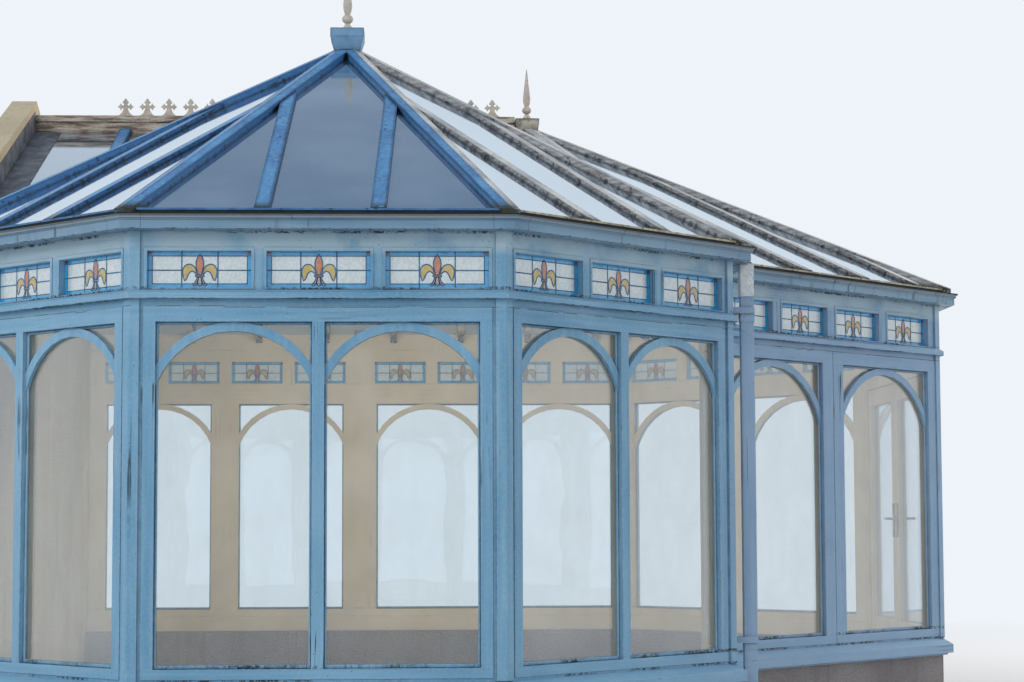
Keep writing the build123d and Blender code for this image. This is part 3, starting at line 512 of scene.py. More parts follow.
gutterSettings = dict(
    deep=tone(98, 134, 160), light=tone(126, 158, 180), lip=tone(134, 146, 152), grooveShade=tone(58, 72, 82),
    rim=tone(170, 180, 184), dirt=tone(30, 34, 34), chalk=tone(166, 184, 194), coats=(1.6, 0.34, 0.66),
    streaks=((1.5, 1.5, 30), 0.42, 0.70, 0, 0.30), lipSpan=(2.499, 2.503),
    lipMarks=(7, 0.30, 0.60, 0.5, 1.0), grooveShadeBands=((2.4985, 2.5010), (2.5105, 2.5130)),
    rimBand=(2.503, 2.5105),
    joint=0.098,       # from a corner to the joint beside it
    jointSpan=(0.0006, 0.0022, 0.6, 0),
    reach=0.103,       # from the wall line to the gutter's face
    runs=((22, 22, 2), 0.56, 0.68, 0, 1, 3, 0.7), runPlaces=(2.1, 0.45, 0.60, 0, 0.7),
    drip=(2.4545, 2.4590), dripMarks=(40, 0.55, 0.63, 0, 1, 4, 0.7), topShadeSpan=(2.5135, 2.5150),
    roughness=(12, 0.3, 0.7, 0.30, 0.50, 4), dirtRough=0.85, relief=(0.35, 0.0015), grooveShadeShare=0.7,
    rimShare=0.4, corner=(0.03, 0.5), bumps=(30, 4), bumpShare=0.2,
)


def gutterJoints(place, s):
    level = stretched(place, 1, 1, 0)
    nearest = None
    for wall in range(rearWall):      # a joint on each side of the corner after this wall
        ax, ay, dx, dy, length = wallLine(wall)
        bx, by, ex, ey, length = wallLine(wall + 1)
        out = s["reach"] / (1 + dx * ex + dy * ey)
        corner = {0: level, 1: (bx + (dy + ey) * out, by - (dx + ex) * out, 0)}
        away = put("VectorMath", corner, 1, operation='DISTANCE')
        off = maths('ABSOLUTE', less(away, s["joint"]))
        nearest = maths('MINIMUM', nearest, off) if nearest else off
    return spanned(nearest, *s["jointSpan"])


def gutterPaint(name, s):
    mat, place = newMaterial(name)
    height = axisOf(place, 2)
    lip = times(spanned(height, *s["lipSpan"]), patches(place, *s["lipMarks"]))
    grooveShadeBands = times(bands(height, *s["grooveShadeBands"]), s["grooveShadeShare"])
    rim = times(bands(height, s["rimBand"]), s["rimShare"])
    paint = layered(s["deep"], (patches(place, *s["coats"]), s["light"]),
                    (patches(place, *s["streaks"]), s["chalk"]),
                    (lip, s["lip"]), (grooveShadeBands, s["grooveShade"]), (rim, s["rim"]))
    runs = times(patches(place, *s["runs"]), patches(place, *s["runPlaces"]))
    cornerShade = shadedCorners(place, *s["corner"])
    drip = times(bands(height, s["drip"]), patches(place, *s["dripMarks"]))
    # painted shade along the top edge, where the gutter meets the eaves
    top = spanned(height, *s["topShadeSpan"])
    # dirt here also carries the painted shade of the top edge and the corners
    dirt = most(gutterJoints(place, s), runs, cornerShade, drip, top)
    rough = mixValue(dirt, patches(place, *s["roughness"]), s["dirtRough"])
    relief = less(times(clouds(place, *s["bumps"]), s["bumpShare"]), dirt)
    return coat(mat, mixTone(dirt, paint, s["dirt"]), rough, relief, s)


# ridges, apex boxes, finials and cresting

ridgeSettings = dict(
    pale=tone(196, 186, 170), stain=tone(112, 88, 70), dark=tone(48, 44, 42),
    grain=((6, 6, 52), 0.40, 0.62, 0, 1, 4, 0.65), spots=(60, 0.55, 0.68, 0, 0.7, 4, 0.7),
    edgeMarks=(30, 0.48, 0.56, 0, 0.8), roughness=(15, 0.3, 0.7, 0.55, 0.80, 4), relief=(0.4, 0.002),
    edge=0.004, corner=(0.03, 0.85), bumps=(70, 4, 0.7),
)
boxSettings = dict(
    blue=tone(122, 160, 190), blueDeep=tone(96, 138, 172), cream=tone(190, 180, 162), dark=tone(58, 58, 58),
    rust=tone(80, 58, 42),
    rearSpan=(-0.4, -0.3),      # the rear box is cream, the front one blue
    broad=(9, 4, 0.65), blueCoats=(0.38, 0.62), creamCoats=(0.42, 0.58), edges=(0.014, 0.97),
    edgeMarks=(42, 0.44, 0.52, 0, 1, 4, 0.7), roughness=(0.3, 0.7, 0.42, 0.66), relief=(0.4, 0.0015),
    corner=(0.04, 0.7), bumps=60,
)
castSettings = dict(
    pale=tone(214, 204, 188), deep=tone(176, 166, 152), rust=tone(128, 92, 62), dirt=tone(62, 58, 54),
    broad=(14, 4, 0.65), coats=(0.38, 0.62), rusty=(0.50, 0.60), spots=(75, 0.54, 0.62, 0, 1, 4, 0.7),
    roughness=(0.3, 0.7, 0.34, 0.50), rustRough=0.85, relief=(0.35, 0.001), rustShare=0.8,
    corner=(0.012, 0.7), bumps=120,
)


def ridgeFinish(name, s):
    mat, place = newMaterial(name)
    edges = times(wornEdges(place, s["edge"]), patches(place, *s["edgeMarks"]))
    # dark where ambient occlusion finds corners is painted shade; the dark edges are wear
    colour = layered(s["pale"], (patches(place, *s["grain"]), s["stain"]),
                     (patches(place, *s["spots"]), s["stain"]),
                     (most(shadedCorners(place, *s["corner"]), edges), s["dark"]))
    return coat(mat, colour, patches(place, *s["roughness"]), clouds(place, *s["bumps"]), s)


def boxFinish(name, s):
    mat, place = newMaterial(name)
    rear = spanned(axisOf(place, 1), *s["rearSpan"])
    broad = clouds(place, *s["broad"])
    blue = mixTone(spanned(broad, *s["blueCoats"]), s["blueDeep"], s["blue"])
    cream = mixTone(spanned(broad, *s["creamCoats"]), s["dark"], s["cream"])
    edges = times(wornEdges(place, *s["edges"]), patches(place, *s["edgeMarks"]))
    # dark in the corners is painted shade
    colour = layered(blue, (rear, cream), (edges, s["rust"]), (shadedCorners(place, *s["corner"]), s["dark"]))
    relief = less(clouds(place, s["bumps"]), edges)
    return coat(mat, colour, spanned(broad, *s["roughness"]), relief, s)


def castPaint(name, s):
    mat, place = newMaterial(name)
    broad = clouds(place, *s["broad"])
    rust = times(patches(place, *s["spots"]), spanned(broad, *s["rusty"]))
    # the dirt tone in the corners is painted shade
    colour = layered(s["deep"], (spanned(broad, *s["coats"]), s["pale"]),
                     (times(rust, s["rustShare"]), s["rust"]), (shadedCorners(place, *s["corner"]), s["dirt"]))
    rough = mixValue(rust, spanned(broad, *s["roughness"]), s["rustRough"])
    return coat(mat, colour, rough, less(clouds(place, s["bumps"]), rust), s)


# glass, which mirrors more at a flat angle

paneSettings = dict(
    tint=(0.93, 0.96, 0.97),
    film=tone(206, 216, 222),      # dust
    filmPale=tone(222, 228, 230), filmShare=(0.01, 0.07), mirror=0.07, power=2.6, shine=(0.95, 0.97, 1.0),
    rough=0.015, haze=((1.6, 1.6, 3.0), 0.42, 0.64), dustRuns=((5, 3, 0.8), 5, 0.6),
    dustClouds=(3.0, 3, 0.6), dustSpan=(0.40, 0.72), ripple=(0.10, 0.02), mirrorGain=0.93, waves=(1.6, 2),
)
roofPaneSettings = dict(
    paneSettings, tint=(0.55, 0.66, 0.76), film=tone(78, 104, 136), filmPale=tone(138, 156, 176),
    filmShare=(0.34, 0.52), mirror=0.05, power=1.15, shine=(0.84, 0.93, 1.0), rough=0.07)
stainedSettings = dict(
    shine=(0.95, 0.97, 1.0), rough=0.12, power=3.0, mirrorFull=0.72, ripple=(0.5, 0.002),
    mottled=(30, 0.35, 0.65, 0, 1, 4), cloudy=(90, 0.35, 0.65),
)


def mirrorCoat(height, s):
    waves = raised(height, s["ripple"])
    return put("BsdfGlossy", {"Color": s["shine"], "Roughness": s["rough"], "Normal": waves})


def mirrorShare(place, power, least, full):      # a facing mix, which is right on both sides of a pane
    angle = put("LayerWeight", {"Blend": 0.5}, 1, place)
    return spanned(maths('POWER', angle, power), 0, 1, least, full)


def paneGlass(name, s):
    mat, place = newMaterial(name)
    see = put("BsdfTransparent", {"Color": s["tint"]}, 0, place)
    haze = mixTone(patches(place, *s["haze"]), s["film"], s["filmPale"])
    film = put("BsdfDiffuse", {"Color": haze})
    dust = most(clouds(place, *s["dustRuns"]), clouds(place, *s["dustClouds"]))
    dusty = mixShader(spanned(dust, *s["dustSpan"], *s["filmShare"]), see, film)
    share = mirrorShare(place, s["power"], s["mirror"], s["mirror"] + s["mirrorGain"])
    showShader(mixShader(share, dusty, mirrorCoat(clouds(place, *s["waves"]), s)))
    return mat


def stainedGlass(name, colour, second, clear=0.28, rippled=60, mirror=0.11):
    s = stainedSettings
    mat, place = newMaterial(name)
    cast = mixTone(patches(place, *s["mottled"]), colour, second)
    see = put("BsdfTransparent", {"Color": cast})
    body = put("BsdfDiffuse", {"Color": cast})
    cloudy = patches(place, *s["cloudy"], 0.92 - clear, 1.08 - clear, 4)
    share = mirrorShare(place, s["power"], mirror, s["mirrorFull"])
    shine = mirrorCoat(clouds(place, rippled), s)
    showShader(mixShader(share, mixShader(cloudy, see, body), shine))
    return mat


# masonry, floors and metal

masonrySettings = dict(
    patches=(2.4, 0.36, 0.64, 0, 1, 4, 0.6), stones=(0.20, 0.50, 0, 0.65), dampSpan=(0.02, 0.22, 1, 0),
    dampMarks=(5, 0.30, 0.62), runs=((16, 16, 1.0), 0.54, 0.68, 0, 0.28, 3, 0.65), rough=0.92,
    relief=(1.0, 0.009), stoneScale=95.0, bumps=60, bumpShare=0.8,
)
tileSettings = dict(
    worn=(7, 0.45, 0.70, 0, 0.5, 4, 0.65), roughness=(5, 0.3, 0.7, 0.30, 0.55), relief=(0.4, 0.002),
    joint=0.004, jointBlur=0.1, bumps=(25, 4), bumpShare=0.2,
)
metalSettings = dict(
    broad=(11, 4, 0.65), dullSpan=(0.38, 0.64), spots=(130, 0.58, 0.70, 0, 0.5, 3, 0.7),
    relief=(0.25, 0.0008), corner=(0.012, 0.7), wornSpan=(0.3, 0.7), worn=0.18, bumps=90,
)


def roughcast(name, pale, deep, stain):
    s = masonrySettings
    mat, place = newMaterial(name)
    stones = put("TexVoronoi", {"Vector": place, "Scale": s["stoneScale"]})
    damp = times(spanned(axisOf(place, 2), *s["dampSpan"]), patches(place, *s["dampMarks"]))
    colour = layered(deep, (patches(place, *s["patches"]), pale), (spanned(stones, *s["stones"]), deep),
                     (most(damp, patches(place, *s["runs"])), stain))
    relief = maths('ADD', times(stones, -1.0), times(clouds(place, s["bumps"]), s["bumpShare"]))
    return coat(mat, colour, s["rough"], relief, s)


def stoneTiles(name, pale, deep, grout, tile):
    s = tileSettings
    mat, place = newMaterial(name)
    laid = {"Vector": place, "Scale": 1.0, "Mortar Size": s["joint"], "Mortar Smooth": s["jointBlur"],
            "Brick Width": tile, "Row Height": tile, "Color1": pale, "Color2": deep, "Mortar": grout}
    tiles = put("TexBrick", laid, offset=0.0)
    colour = mixTone(patches(place, *s["worn"]), tiles, grout)
    relief = less(times(clouds(place, *s["bumps"]), s["bumpShare"]), tiles.node.outputs["Fac"])
    return coat(mat, colour, patches(place, *s["roughness"]), relief, s)


def oldMetal(name, bright, dull, dirt, metallic, rough):
    s = metalSettings
    mat, place = newMaterial(name)
    broad = clouds(place, *s["broad"])
    # the dirt tone in the corners is painted shade; the spots are dirt
    colour = layered(dull, (spanned(broad, *s["dullSpan"]), bright),
                     (shadedCorners(place, *s["corner"]), dirt), (patches(place, *s["spots"]), dirt))
    mat.node_tree.nodes["Principled BSDF"].inputs["Metallic"].default_value = metallic
    worn = spanned(broad, *s["wornSpan"], rough + s["worn"], rough)
    return coat(mat, colour, worn, clouds(place, s["bumps"]), s)


archSettings = dict(paintSettings, cracked=(2.4, 0.54, 0.62, 0, 0))
pipeSettings = dict(paintSettings, deep=tone(120, 150, 178), light=tone(144, 172, 196),
                    mouldy=(3.2, 0.46, 0.56, 0.06, 0.3, 4))
sleeveSettings = dict(castSettings, pale=tone(238, 238, 234), deep=tone(196, 204, 210),
                      rust=tone(160, 160, 158))

finishes = dict(
    wallPaint=agedPaint("weatheredWallPaint", paintSettings),
    archPaint=agedPaint("weatheredArchPaint", archSettings),
    pipePaint=agedPaint("downpipePaint", pipeSettings),
    beadPaint=beadPaint("eavesBeadPaint", beadSettings),
    # near-black finish for the strip that paints the shade under the eaves bead
    shadeStrip=oldMetal("eavesShadeStrip", tone(34, 38, 42), tone(20, 22, 26), tone(12, 12, 12), 0.0, 0.6),
    roofPaint=roofPaint("peelingRoofPaint", roofPaintSettings),
    gutterPaint=gutterPaint("gutterPaint", gutterSettings),
    ridge=ridgeFinish("stainedRidgeBoards", ridgeSettings),
    box=boxFinish("apexBoxPaint", boxSettings),
    cast=castPaint("paintedCastings", castSettings),
    sleeve=castPaint("outletPlastic", sleeveSettings),
    pane=paneGlass("windowPanes", paneSettings),
    roofPane=paneGlass("hazyRoofPanes", roofPaneSettings),
    palePane=stainedGlass("ripplePaleGlass", tone(238, 245, 243), tone(224, 236, 237), 0.34, 160, 0.18),
    azurePane=stainedGlass("azureGlass", tone(46, 190, 242), tone(32, 166, 226), 0.20),
    amberPane=stainedGlass("amberGlass", tone(222, 146, 98), tone(206, 122, 76)),
    ochrePane=stainedGlass("ochreGlass", tone(228, 200, 118), tone(214, 182, 92)),
    blushPane=stainedGlass("blushGlass", tone(212, 186, 168), tone(190, 164, 160)),
    plumPane=stainedGlass("plumGlass", tone(112, 92, 140), tone(92, 74, 120), 0.30),
    came=oldMetal("leadCames", tone(74, 128, 166), tone(50, 94, 128), tone(30, 50, 66), 0.0, 0.45),
    roughcast=roughcast("roughcastPlinth", tone(172, 166, 164), tone(138, 132, 132), tone(102, 96, 94)),
    houseWall=roughcast("creamRoughcast", tone(226, 212, 182), tone(204, 188, 156), tone(160, 146, 122)),
    tiles=stoneTiles("stoneFloorTiles", tone(176, 162, 142), tone(158, 142, 122), tone(108, 98, 86), 0.33),
    step=stoneTiles("doorStep", tone(150, 140, 126), tone(138, 128, 116), tone(92, 86, 78), 1.4),
    lead=oldMetal("sheetLead", tone(136, 140, 146), tone(92, 96, 102), tone(60, 62, 64), 0.4, 0.45),
    brass=oldMetal("agedBrass", tone(176, 138, 76), tone(120, 92, 52), tone(58, 46, 30), 0.9, 0.26),
)
nodeFinishes = dict(
    wallPaint="corner_posts drip_rails_straight drip_rails_diagonal sills_straight sills_diagonal "
              "front_window_frame front_left_window_frame front_right_window_frame return_window_frames "
              "side_front_window_frame side_rear_window_frame rear_window_frames door_transom_frame "
              "door_jambs door_leaf_left door_leaf_right",
    archPaint="window_arches_front_bay window_arches_main_bay",
    pipePaint="downpipe",
    roofPaint="roof_bars_front_bay roof_bars_main_bay roof_hips roof_valleys",
    gutterPaint="gutters_straight gutters_diagonal",
    ridge="main_ridge front_ridge",
    box="apex_boxes",
    cast="finials ridge_cresting",
    pane="window_glass_front_bay window_glass_main_bay door_glass_left door_glass_right",
    roofPane="roof_glass_front_bay roof_glass_main_bay",
    palePane="leaded_lights_front_bay leaded_lights_main_bay",
    roughcast="dwarf_walls_straight dwarf_walls_diagonal",
    houseWall="party_wall",
    tiles="floor_front_bay floor_main_bay",
    step="door_threshold",
    lead="lead_flashing",
    brass="door_hardware_left door_hardware_right door_hinges",
)
for finish, names in nodeFinishes.items():
    for name in names.split():
        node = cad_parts[name]
        if not node.material_slots:
            node.data.materials.append(finishes[finish])
        for holder in node.material_slots:
            holder.material = finishes[finish]
print("finishes on every node")

# modelling


def activate(piece):
    bpy.ops.object.select_all(action='DESELECT')
    piece.select_set(True)
    bpy.context.view_layer.objects.active = piece


def settle(piece, place):
    piece.matrix_world = place
    activate(piece)
    bpy.ops.object.transform_apply(location=True, rotation=True, scale=True)
    return piece


def copyTo(piece, place):
    return settle(newObject(piece.name, piece.data.copy()), place)


def remove(piece):
    bpy.data.objects.remove(piece, do_unlink=True)


def joined(parts, name):
    activate(parts[0])
    for part in parts:
        part.select_set(True)
    if len(parts) > 1:
        bpy.ops.object.join()
    whole = bpy.context.object
    whole.name = name
    whole.data.name = name
    return whole


def dress(piece, finish):
    piece.data.materials.clear()
    piece.data.materials.append(finishes[finish])
    return piece


def applyModifier(piece, kind, **options):
    activate(piece)
    modifier = piece.modifiers.new(kind.lower(), kind)
    for key, value in options.items():
        setattr(modifier, key, value)
    bpy.ops.object.modifier_apply(modifier=modifier.name)


def selectAll():
    bpy.ops.mesh.select_all(action='SELECT')


def editAll(piece):      # edit mode with everything selected
    activate(piece)
    bpy.ops.object.mode_set(mode='EDIT')
    selectAll()


def selectFaces(piece, wanted):      # leaves the piece in edit mode
    activate(piece)
    bpy.ops.object.mode_set(mode='EDIT')
    bpy.ops.mesh.select_mode(type='FACE')
    bpy.ops.mesh.select_all(action='DESELECT')
    bpy.ops.object.mode_set(mode='OBJECT')
    for face in piece.data.polygons:
        face.select = wanted(face)
    bpy.ops.object.mode_set(mode='EDIT')


def finishEdit(merge=0.0):
    selectAll()
    if merge:
        bpy.ops.mesh.remove_doubles(threshold=merge)
    bpy.ops.mesh.normals_make_consistent(inside=False)
    bpy.ops.object.mode_set(mode='OBJECT')


def lineCurve(name, kind, lines):      # each line is its points and whether it closes
    curve = bpy.data.curves.new(name, 'CURVE')
    curve.dimensions = kind
    for points, closed in lines:
        spline = curve.splines.new('POLY')
        spline.points.add(len(points) - 1)
        for point, spot in zip(spline.points, points):
            point.co = (*spot, 1)
        spline.use_cyclic_u = closed
    return newObject(name, curve)


def asMesh(piece):
    activate(piece)
    bpy.ops.object.convert(target='MESH')
    return bpy.context.object


def flatForm(name, outlines, thickness, rounding, finish):      # a filled outline with soft edges
    piece = lineCurve(name, '2D', [([(x, y, 0) for x, y in outline], True) for outline in outlines])
    curve = piece.data
    curve.fill_mode = 'BOTH'
    curve.bevel_resolution = 0
    curve.bevel_depth = rounding
    curve.offset = -rounding
    curve.extrude = thickness / 2 - rounding
    piece = asMesh(piece)
    bpy.ops.object.mode_set(mode='EDIT')
    finishEdit(0.00002)
    return dress(piece, finish)


def cameLines(name, lines, radius, finish):      # round lead strips
    piece = lineCurve(name, '3D', [([(x, y, 0) for x, y in points], closed) for points, closed in lines])
    piece.data.bevel_depth = radius
    piece.data.bevel_resolution = 1
    return dress(asMesh(piece), finish)


def latticeFrame(name, columns, rows, holes, thickness, rounding):
    # a grid whose lines are moved to the wanted places, with some of its cells taken out
    bpy.ops.mesh.primitive_grid_add(x_subdivisions=len(columns) - 1, y_subdivisions=len(rows) - 1, size=2)
    piece = bpy.context.object
    piece.name = name
    for axis, places in ((0, columns), (1, rows)):
        steps = sorted({round(vertex.co[axis], 4) for vertex in piece.data.vertices})
        placeOf = dict(zip(steps, places))
        for vertex in piece.data.vertices:
            vertex.co[axis] = placeOf[round(vertex.co[axis], 4)]

    def inHole(face):
        return any(x0 < face.center.x < x1 and y0 < face.center.y < y1 for x0, y0, x1, y1 in holes)

    selectFaces(piece, inHole)
    bpy.ops.mesh.delete(type='FACE')
    selectAll()
    bpy.ops.mesh.dissolve_limited(angle_limit=0.01)
    selectAll()
    bpy.ops.mesh.extrude_region_move(TRANSFORM_OT_translate={"value": (0, 0, thickness)})
    finishEdit()
    applyModifier(piece, 'BEVEL', width=rounding, segments=1, limit_method='ANGLE')
    return dress(piece, "wallPaint")


def ringFrame(name, outer, hole, thickness, rounding, place):      # a frame round one opening
    columns, rows = [[outer[axis], hole[axis], hole[axis + 2], outer[axis + 2]] for axis in (0, 1)]
    return settle(latticeFrame(name, columns, rows, [hole], thickness, rounding), place)


def rectangle(x0, y0, x1, y1):
    return [(x0, y0), (x1, y0), (x1, y1), (x0, y1)]


def mirrored(half, size):      # half an outline whose ends lie on the middle line
    right = [(x * size, y * size) for x, y in half]
    return right + [(-x, y) for x, y in reversed(right) if x > 0]


# leaded lights with a lily, one pattern for every width

leadedSettings = dict(
    height=0.157, foot=2.214, border=0.019,
    middle=0.077,       # from the centre to the upright leads beside the flower
    rail=0.49,          # level lead, as a share of the height
    glass=0.003,
    proud=0.0008,       # how much thicker the coloured shapes are than the pane
    rounding=0.0002, lead=0.0036, outward=-0.0445,
    # outlines as shares of the height
    lance=((0, 0.93), (0.035, 0.89), (0.07, 0.82), (0.095, 0.75), (0.105, 0.68), (0.10, 0.60),
           (0.08, 0.51), (0.06, 0.43), (0.05, 0.362)),
    petal=((0.085, 0.362), (0.095, 0.47), (0.13, 0.56), (0.18, 0.615), (0.24, 0.648), (0.30, 0.657),
           (0.36, 0.643), (0.41, 0.605), (0.448, 0.545), (0.466, 0.47), (0.462, 0.38), (0.442, 0.29),
           (0.41, 0.20), (0.372, 0.24), (0.342, 0.30), (0.32, 0.36), (0.29, 0.415), (0.25, 0.452),
           (0.205, 0.465), (0.16, 0.45), (0.12, 0.41)),
    tie=((0, 0.312), (0.09, 0.312), (0.118, 0.325), (0.118, 0.35), (0.09, 0.362), (0, 0.362)),
    stem=((0, 0.31), (0.03, 0.307), (0.045, 0.22), (0.062, 0.15), (0.048, 0.09), (0, 0.062)),
    claw=((0.036, 0.309), (0.07, 0.309), (0.088, 0.23), (0.13, 0.155), (0.195, 0.105), (0.165, 0.07),
          (0.115, 0.08), (0.08, 0.125), (0.052, 0.20)),
)


def leadedPane(width, s):      # pale glass with a blue border
    h = s["height"]
    bpy.ops.mesh.primitive_plane_add(size=1)
    pane = bpy.context.object
    settle(pane, Matrix.Translation((0, h / 2, 0)) @ Matrix.Diagonal((width, h, 1, 1)))
    dress(pane, "azurePane")
    pane.data.materials.append(finishes["palePane"])
    selectFaces(pane, lambda face: True)
    bpy.ops.mesh.inset(thickness=s["border"])
    bpy.ops.object.mode_set(mode='OBJECT')
    for face in pane.data.polygons:
        if abs(face.center.x) < 0.01 and abs(face.center.y - h / 2) < 0.01:
            face.material_index = 1
    applyModifier(pane, 'SOLIDIFY', thickness=s["glass"], offset=0)
    return pane


def leadedLight(width, s):
    h, b, m = s["height"], s["border"], s["middle"]
    lance, tie, stem = [mirrored(s[part], h) for part in ("lance", "tie", "stem")]
    petals, claws = [[[(side * x * h, y * h) for x, y in s[part]] for side in (-1, 1)]
                     for part in ("petal", "claw")]
    x, top = width / 2 - b, h - b
    squares = [rectangle(x, top, width / 2, h), rectangle(-width / 2, top, -x, h)]
    parts = [leadedPane(width, s)]
    for outlines, finish in (([lance], "amberPane"), (petals, "ochrePane"),
                             (claws + [tie, stem], "blushPane"), (squares, "plumPane")):
        parts.append(flatForm(finish, outlines, s["glass"] + s["proud"], s["rounding"], finish))
    lines = [(outline, True) for outline in [rectangle(-x, b, x, top), lance, tie, stem] + petals + claws]
    for side in (-1, 1):
        lines.append(([(side * m, 0), (side * m, h)], False))
        lines.append(([(side * m, h * s["rail"]), (side * (width / 2), h * s["rail"])], False))
    parts.append(cameLines("leads", lines, s["lead"], "came"))
    return joined(parts, "leadedLight")


def addLeadedLights(name, walls, node, s):
    made = {}
    copies = []
    for wall in walls:
        for along, width in lightsOf[wall]:
            key = round(width, 4)
            if key not in made:
                made[key] = leadedLight(width, s)
            copies.append(copyTo(made[key], onWall(wall, along, s["outward"], s["foot"])))
    for original in made.values():
        remove(original)
    lights = joined(copies, name)
    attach(lights, "building")
    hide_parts(node)


addLeadedLights("leadedLightsFront", frontWalls, "leaded_lights_front_bay", leadedSettings)
addLeadedLights("leadedLightsMain", mainWalls, "leaded_lights_main_bay", leadedSettings)
print("leaded lights in")

# raised frames round the windows and lights, and the beads that hold the glass

frameSettings = dict(
    windowFoot=0.600, windowHead=2.068, lightFoot=2.214, lightHead=2.371,
    face=-0.0122,        # outer face of the wall frames
    sashProud=0.0052, sashSideFront=0.053, sashSideMain=0.0950, sashTop=0.066, sashFoot=0.044,
    lightProud=0.0042, lightSide=0.014, lightTop=0.016, lightBottom=0.0075, rounding=0.0014, bead=0.011,
    beadFoot=0.0165,     # taller at the foot, for the putty
    beadDeep=0.013, beadOutward=-0.0418, beadRounding=0.004,
)


def sashFrame(wall, group, s):      # one frame round the windows of a group
    low, high = s["windowFoot"], s["windowHead"]
    side = s["sashSideFront"] if wall in frontWalls else s["sashSideMain"]
    middle = sum(along for along, width in group) / len(group)
    edges = [along + way * width / 2 - middle for along, width in group for way in (-1, 1)]
    columns = [edges[0] - side] + edges + [edges[-1] + side]
    rows = [low - s["sashFoot"], low, high, high + s["sashTop"]]
    holes = [(edges[i], low, edges[i + 1], high) for i in range(0, len(edges), 2)]
    sash = latticeFrame("sash", columns, rows, holes, s["sashProud"], s["rounding"])
    return settle(sash, onWall(wall, middle, s["face"], 0))


def glazingBead(wall, along, width, s):
    b, low, high = s["bead"], s["windowFoot"], s["windowHead"]
    outer = (-width / 2, low, width / 2, high)
    hole = (b - width / 2, low + s["beadFoot"], width / 2 - b, high - b)
    return ringFrame("bead", outer, hole, s["beadDeep"], s["beadRounding"],
                     onWall(wall, along, s["beadOutward"], 0))


def lightFrame(wall, along, width, s):
    half, side, low, high = width / 2, s["lightSide"], s["lightFoot"], s["lightHead"]
    outer = (-half - side, low - s["lightBottom"], half + side, high + s["lightTop"])
    return ringFrame("lightRing", outer, (-half, low, half, high), s["lightProud"], s["rounding"],
                     onWall(wall, along, s["face"], 0))


def addWallTrims(name, walls, s):
    sashes, rings, beads = [], [], []
    for wall in walls:
        groups = [windowsOf[wall]] if wall in frontWalls else [[span] for span in windowsOf[wall]]
        for group in groups:
            sashes.append(sashFrame(wall, group, s))
            beads += [glazingBead(wall, along, width, s) for along, width in group]
        rings += [lightFrame(wall, along, width, s) for along, width in lightsOf[wall]]
    for parts, title in ((sashes, "sashFrames"), (rings, "lightFrames"), (beads, "glazingBeads")):
        trim = joined(parts, title + name)
        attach(trim, "building")


addWallTrims("Front", frontWalls, frameSettings)
addWallTrims("Main", mainWalls, frameSettings)
print("window trims in")

# beads round the door glass and panels, which ride on the leaves

doorSettings = dict(
    leaves=((0.156, "door_left", "Left"), (0.973, "door_right", "Right")),      # start along the wall
    width=0.811, stile=0.095, bead=0.012, rounding=0.003,
    glass=dict(low=0.600, high=1.957, outward=-0.0398, deep=0.012),
    panel=dict(low=0.261, high=0.505, outward=-0.0275, deep=0.006),
)


def addDoorTrims(s):
    half, b = s["width"] / 2 - s["stile"], s["bead"]
    for start, body, title in s["leaves"]:
        parts = []
        for part in (s["glass"], s["panel"]):
            low, high = part["low"], part["high"]
            hole = (b - half, low + b, half - b, high - b)
            place = onWall(doorWall, start + s["width"] / 2, part["outward"], 0)
            outer = (-half, low, half, high)
            parts.append(ringFrame("doorRing", outer, hole, part["deep"], s["rounding"], place))
        trim = joined(parts, "doorBeads" + title)
        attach(trim, body)


addDoorTrims(doorSettings)
print("door beads in")

# a near-black strip of painted shade and a painted bead along the foot of the roof glass, mitred at the
# corners

eavesSettings = dict(
    shadeStrip=dict(near=0.0350, far=0.0405, low=2.5115, high=2.5400),
    bead=dict(near=0.0345, far=0.0440, low=2.5400, high=2.5490),
    beyond=0.2,      # past each corner, cut off at the mitre
)


def eavesStrip(wall, part, beyond, finish):
    dx, dy, length = wallLine(wall)[2:]
    bpy.ops.mesh.primitive_plane_add(size=1)
    strip = bpy.context.object
    place = onWall(wall, -beyond, (part["near"] + part["far"]) / 2, (part["low"] + part["high"]) / 2)
    section = Matrix.Diagonal((part["far"] - part["near"], part["high"] - part["low"], 1, 1))
    settle(strip, place @ Matrix.Rotation(math.pi / 2, 4, 'Y') @ section)
    editAll(strip)
    reach = length + 2 * beyond
    bpy.ops.mesh.extrude_region_move(TRANSFORM_OT_translate={"value": (dx * reach, dy * reach, 0)})
    for corner, other, way in ((wall, wall - 1, -1), (wall + 1, wall + 1, 1)):
        ex, ey = wallLine(other)[2:4] if 0 <= other <= rearWall else (dx, dy)
        spot, mitre = (*wallCorners[corner], 0), ((dx + ex) * way, (dy + ey) * way, 0)
        selectAll()
        bpy.ops.mesh.bisect(plane_co=spot, plane_no=mitre, use_fill=True, clear_outer=True)
    finishEdit()
    return dress(strip, finish)


def addEavesStrips(s):
    for part, title, finish, slot in (("shadeStrip", "eavesShadeStrip", "shadeStrip", "gutter"),
                                      ("bead", "eavesBead", "beadPaint", "painted_roof_timber")):
        strips = [eavesStrip(wall, s[part], s["beyond"], finish) for wall in frontWalls + mainWalls]
        strips = joined(strips, title)
        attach(strips, "building")


addEavesStrips(eavesSettings)
print("eaves strips in")

# turned finials

finialSettings = dict(
    profile=((0, 0), (32, 0), (32, 7), (27, 14), (20, 24), (13, 34), (12, 38), (18, 42), (26, 50),
             (29, 59), (28, 68), (22, 77), (15, 83), (14, 88), (18, 97), (22, 112), (23.5, 130),
             (22, 150), (18, 185), (13, 225), (8.5, 265), (4.5, 300), (0, 325)),      # mm
    turns=28, merge=0.0004, smooth=40, feet=((frontApex, 3.742), (mainApex, 3.707)),
)


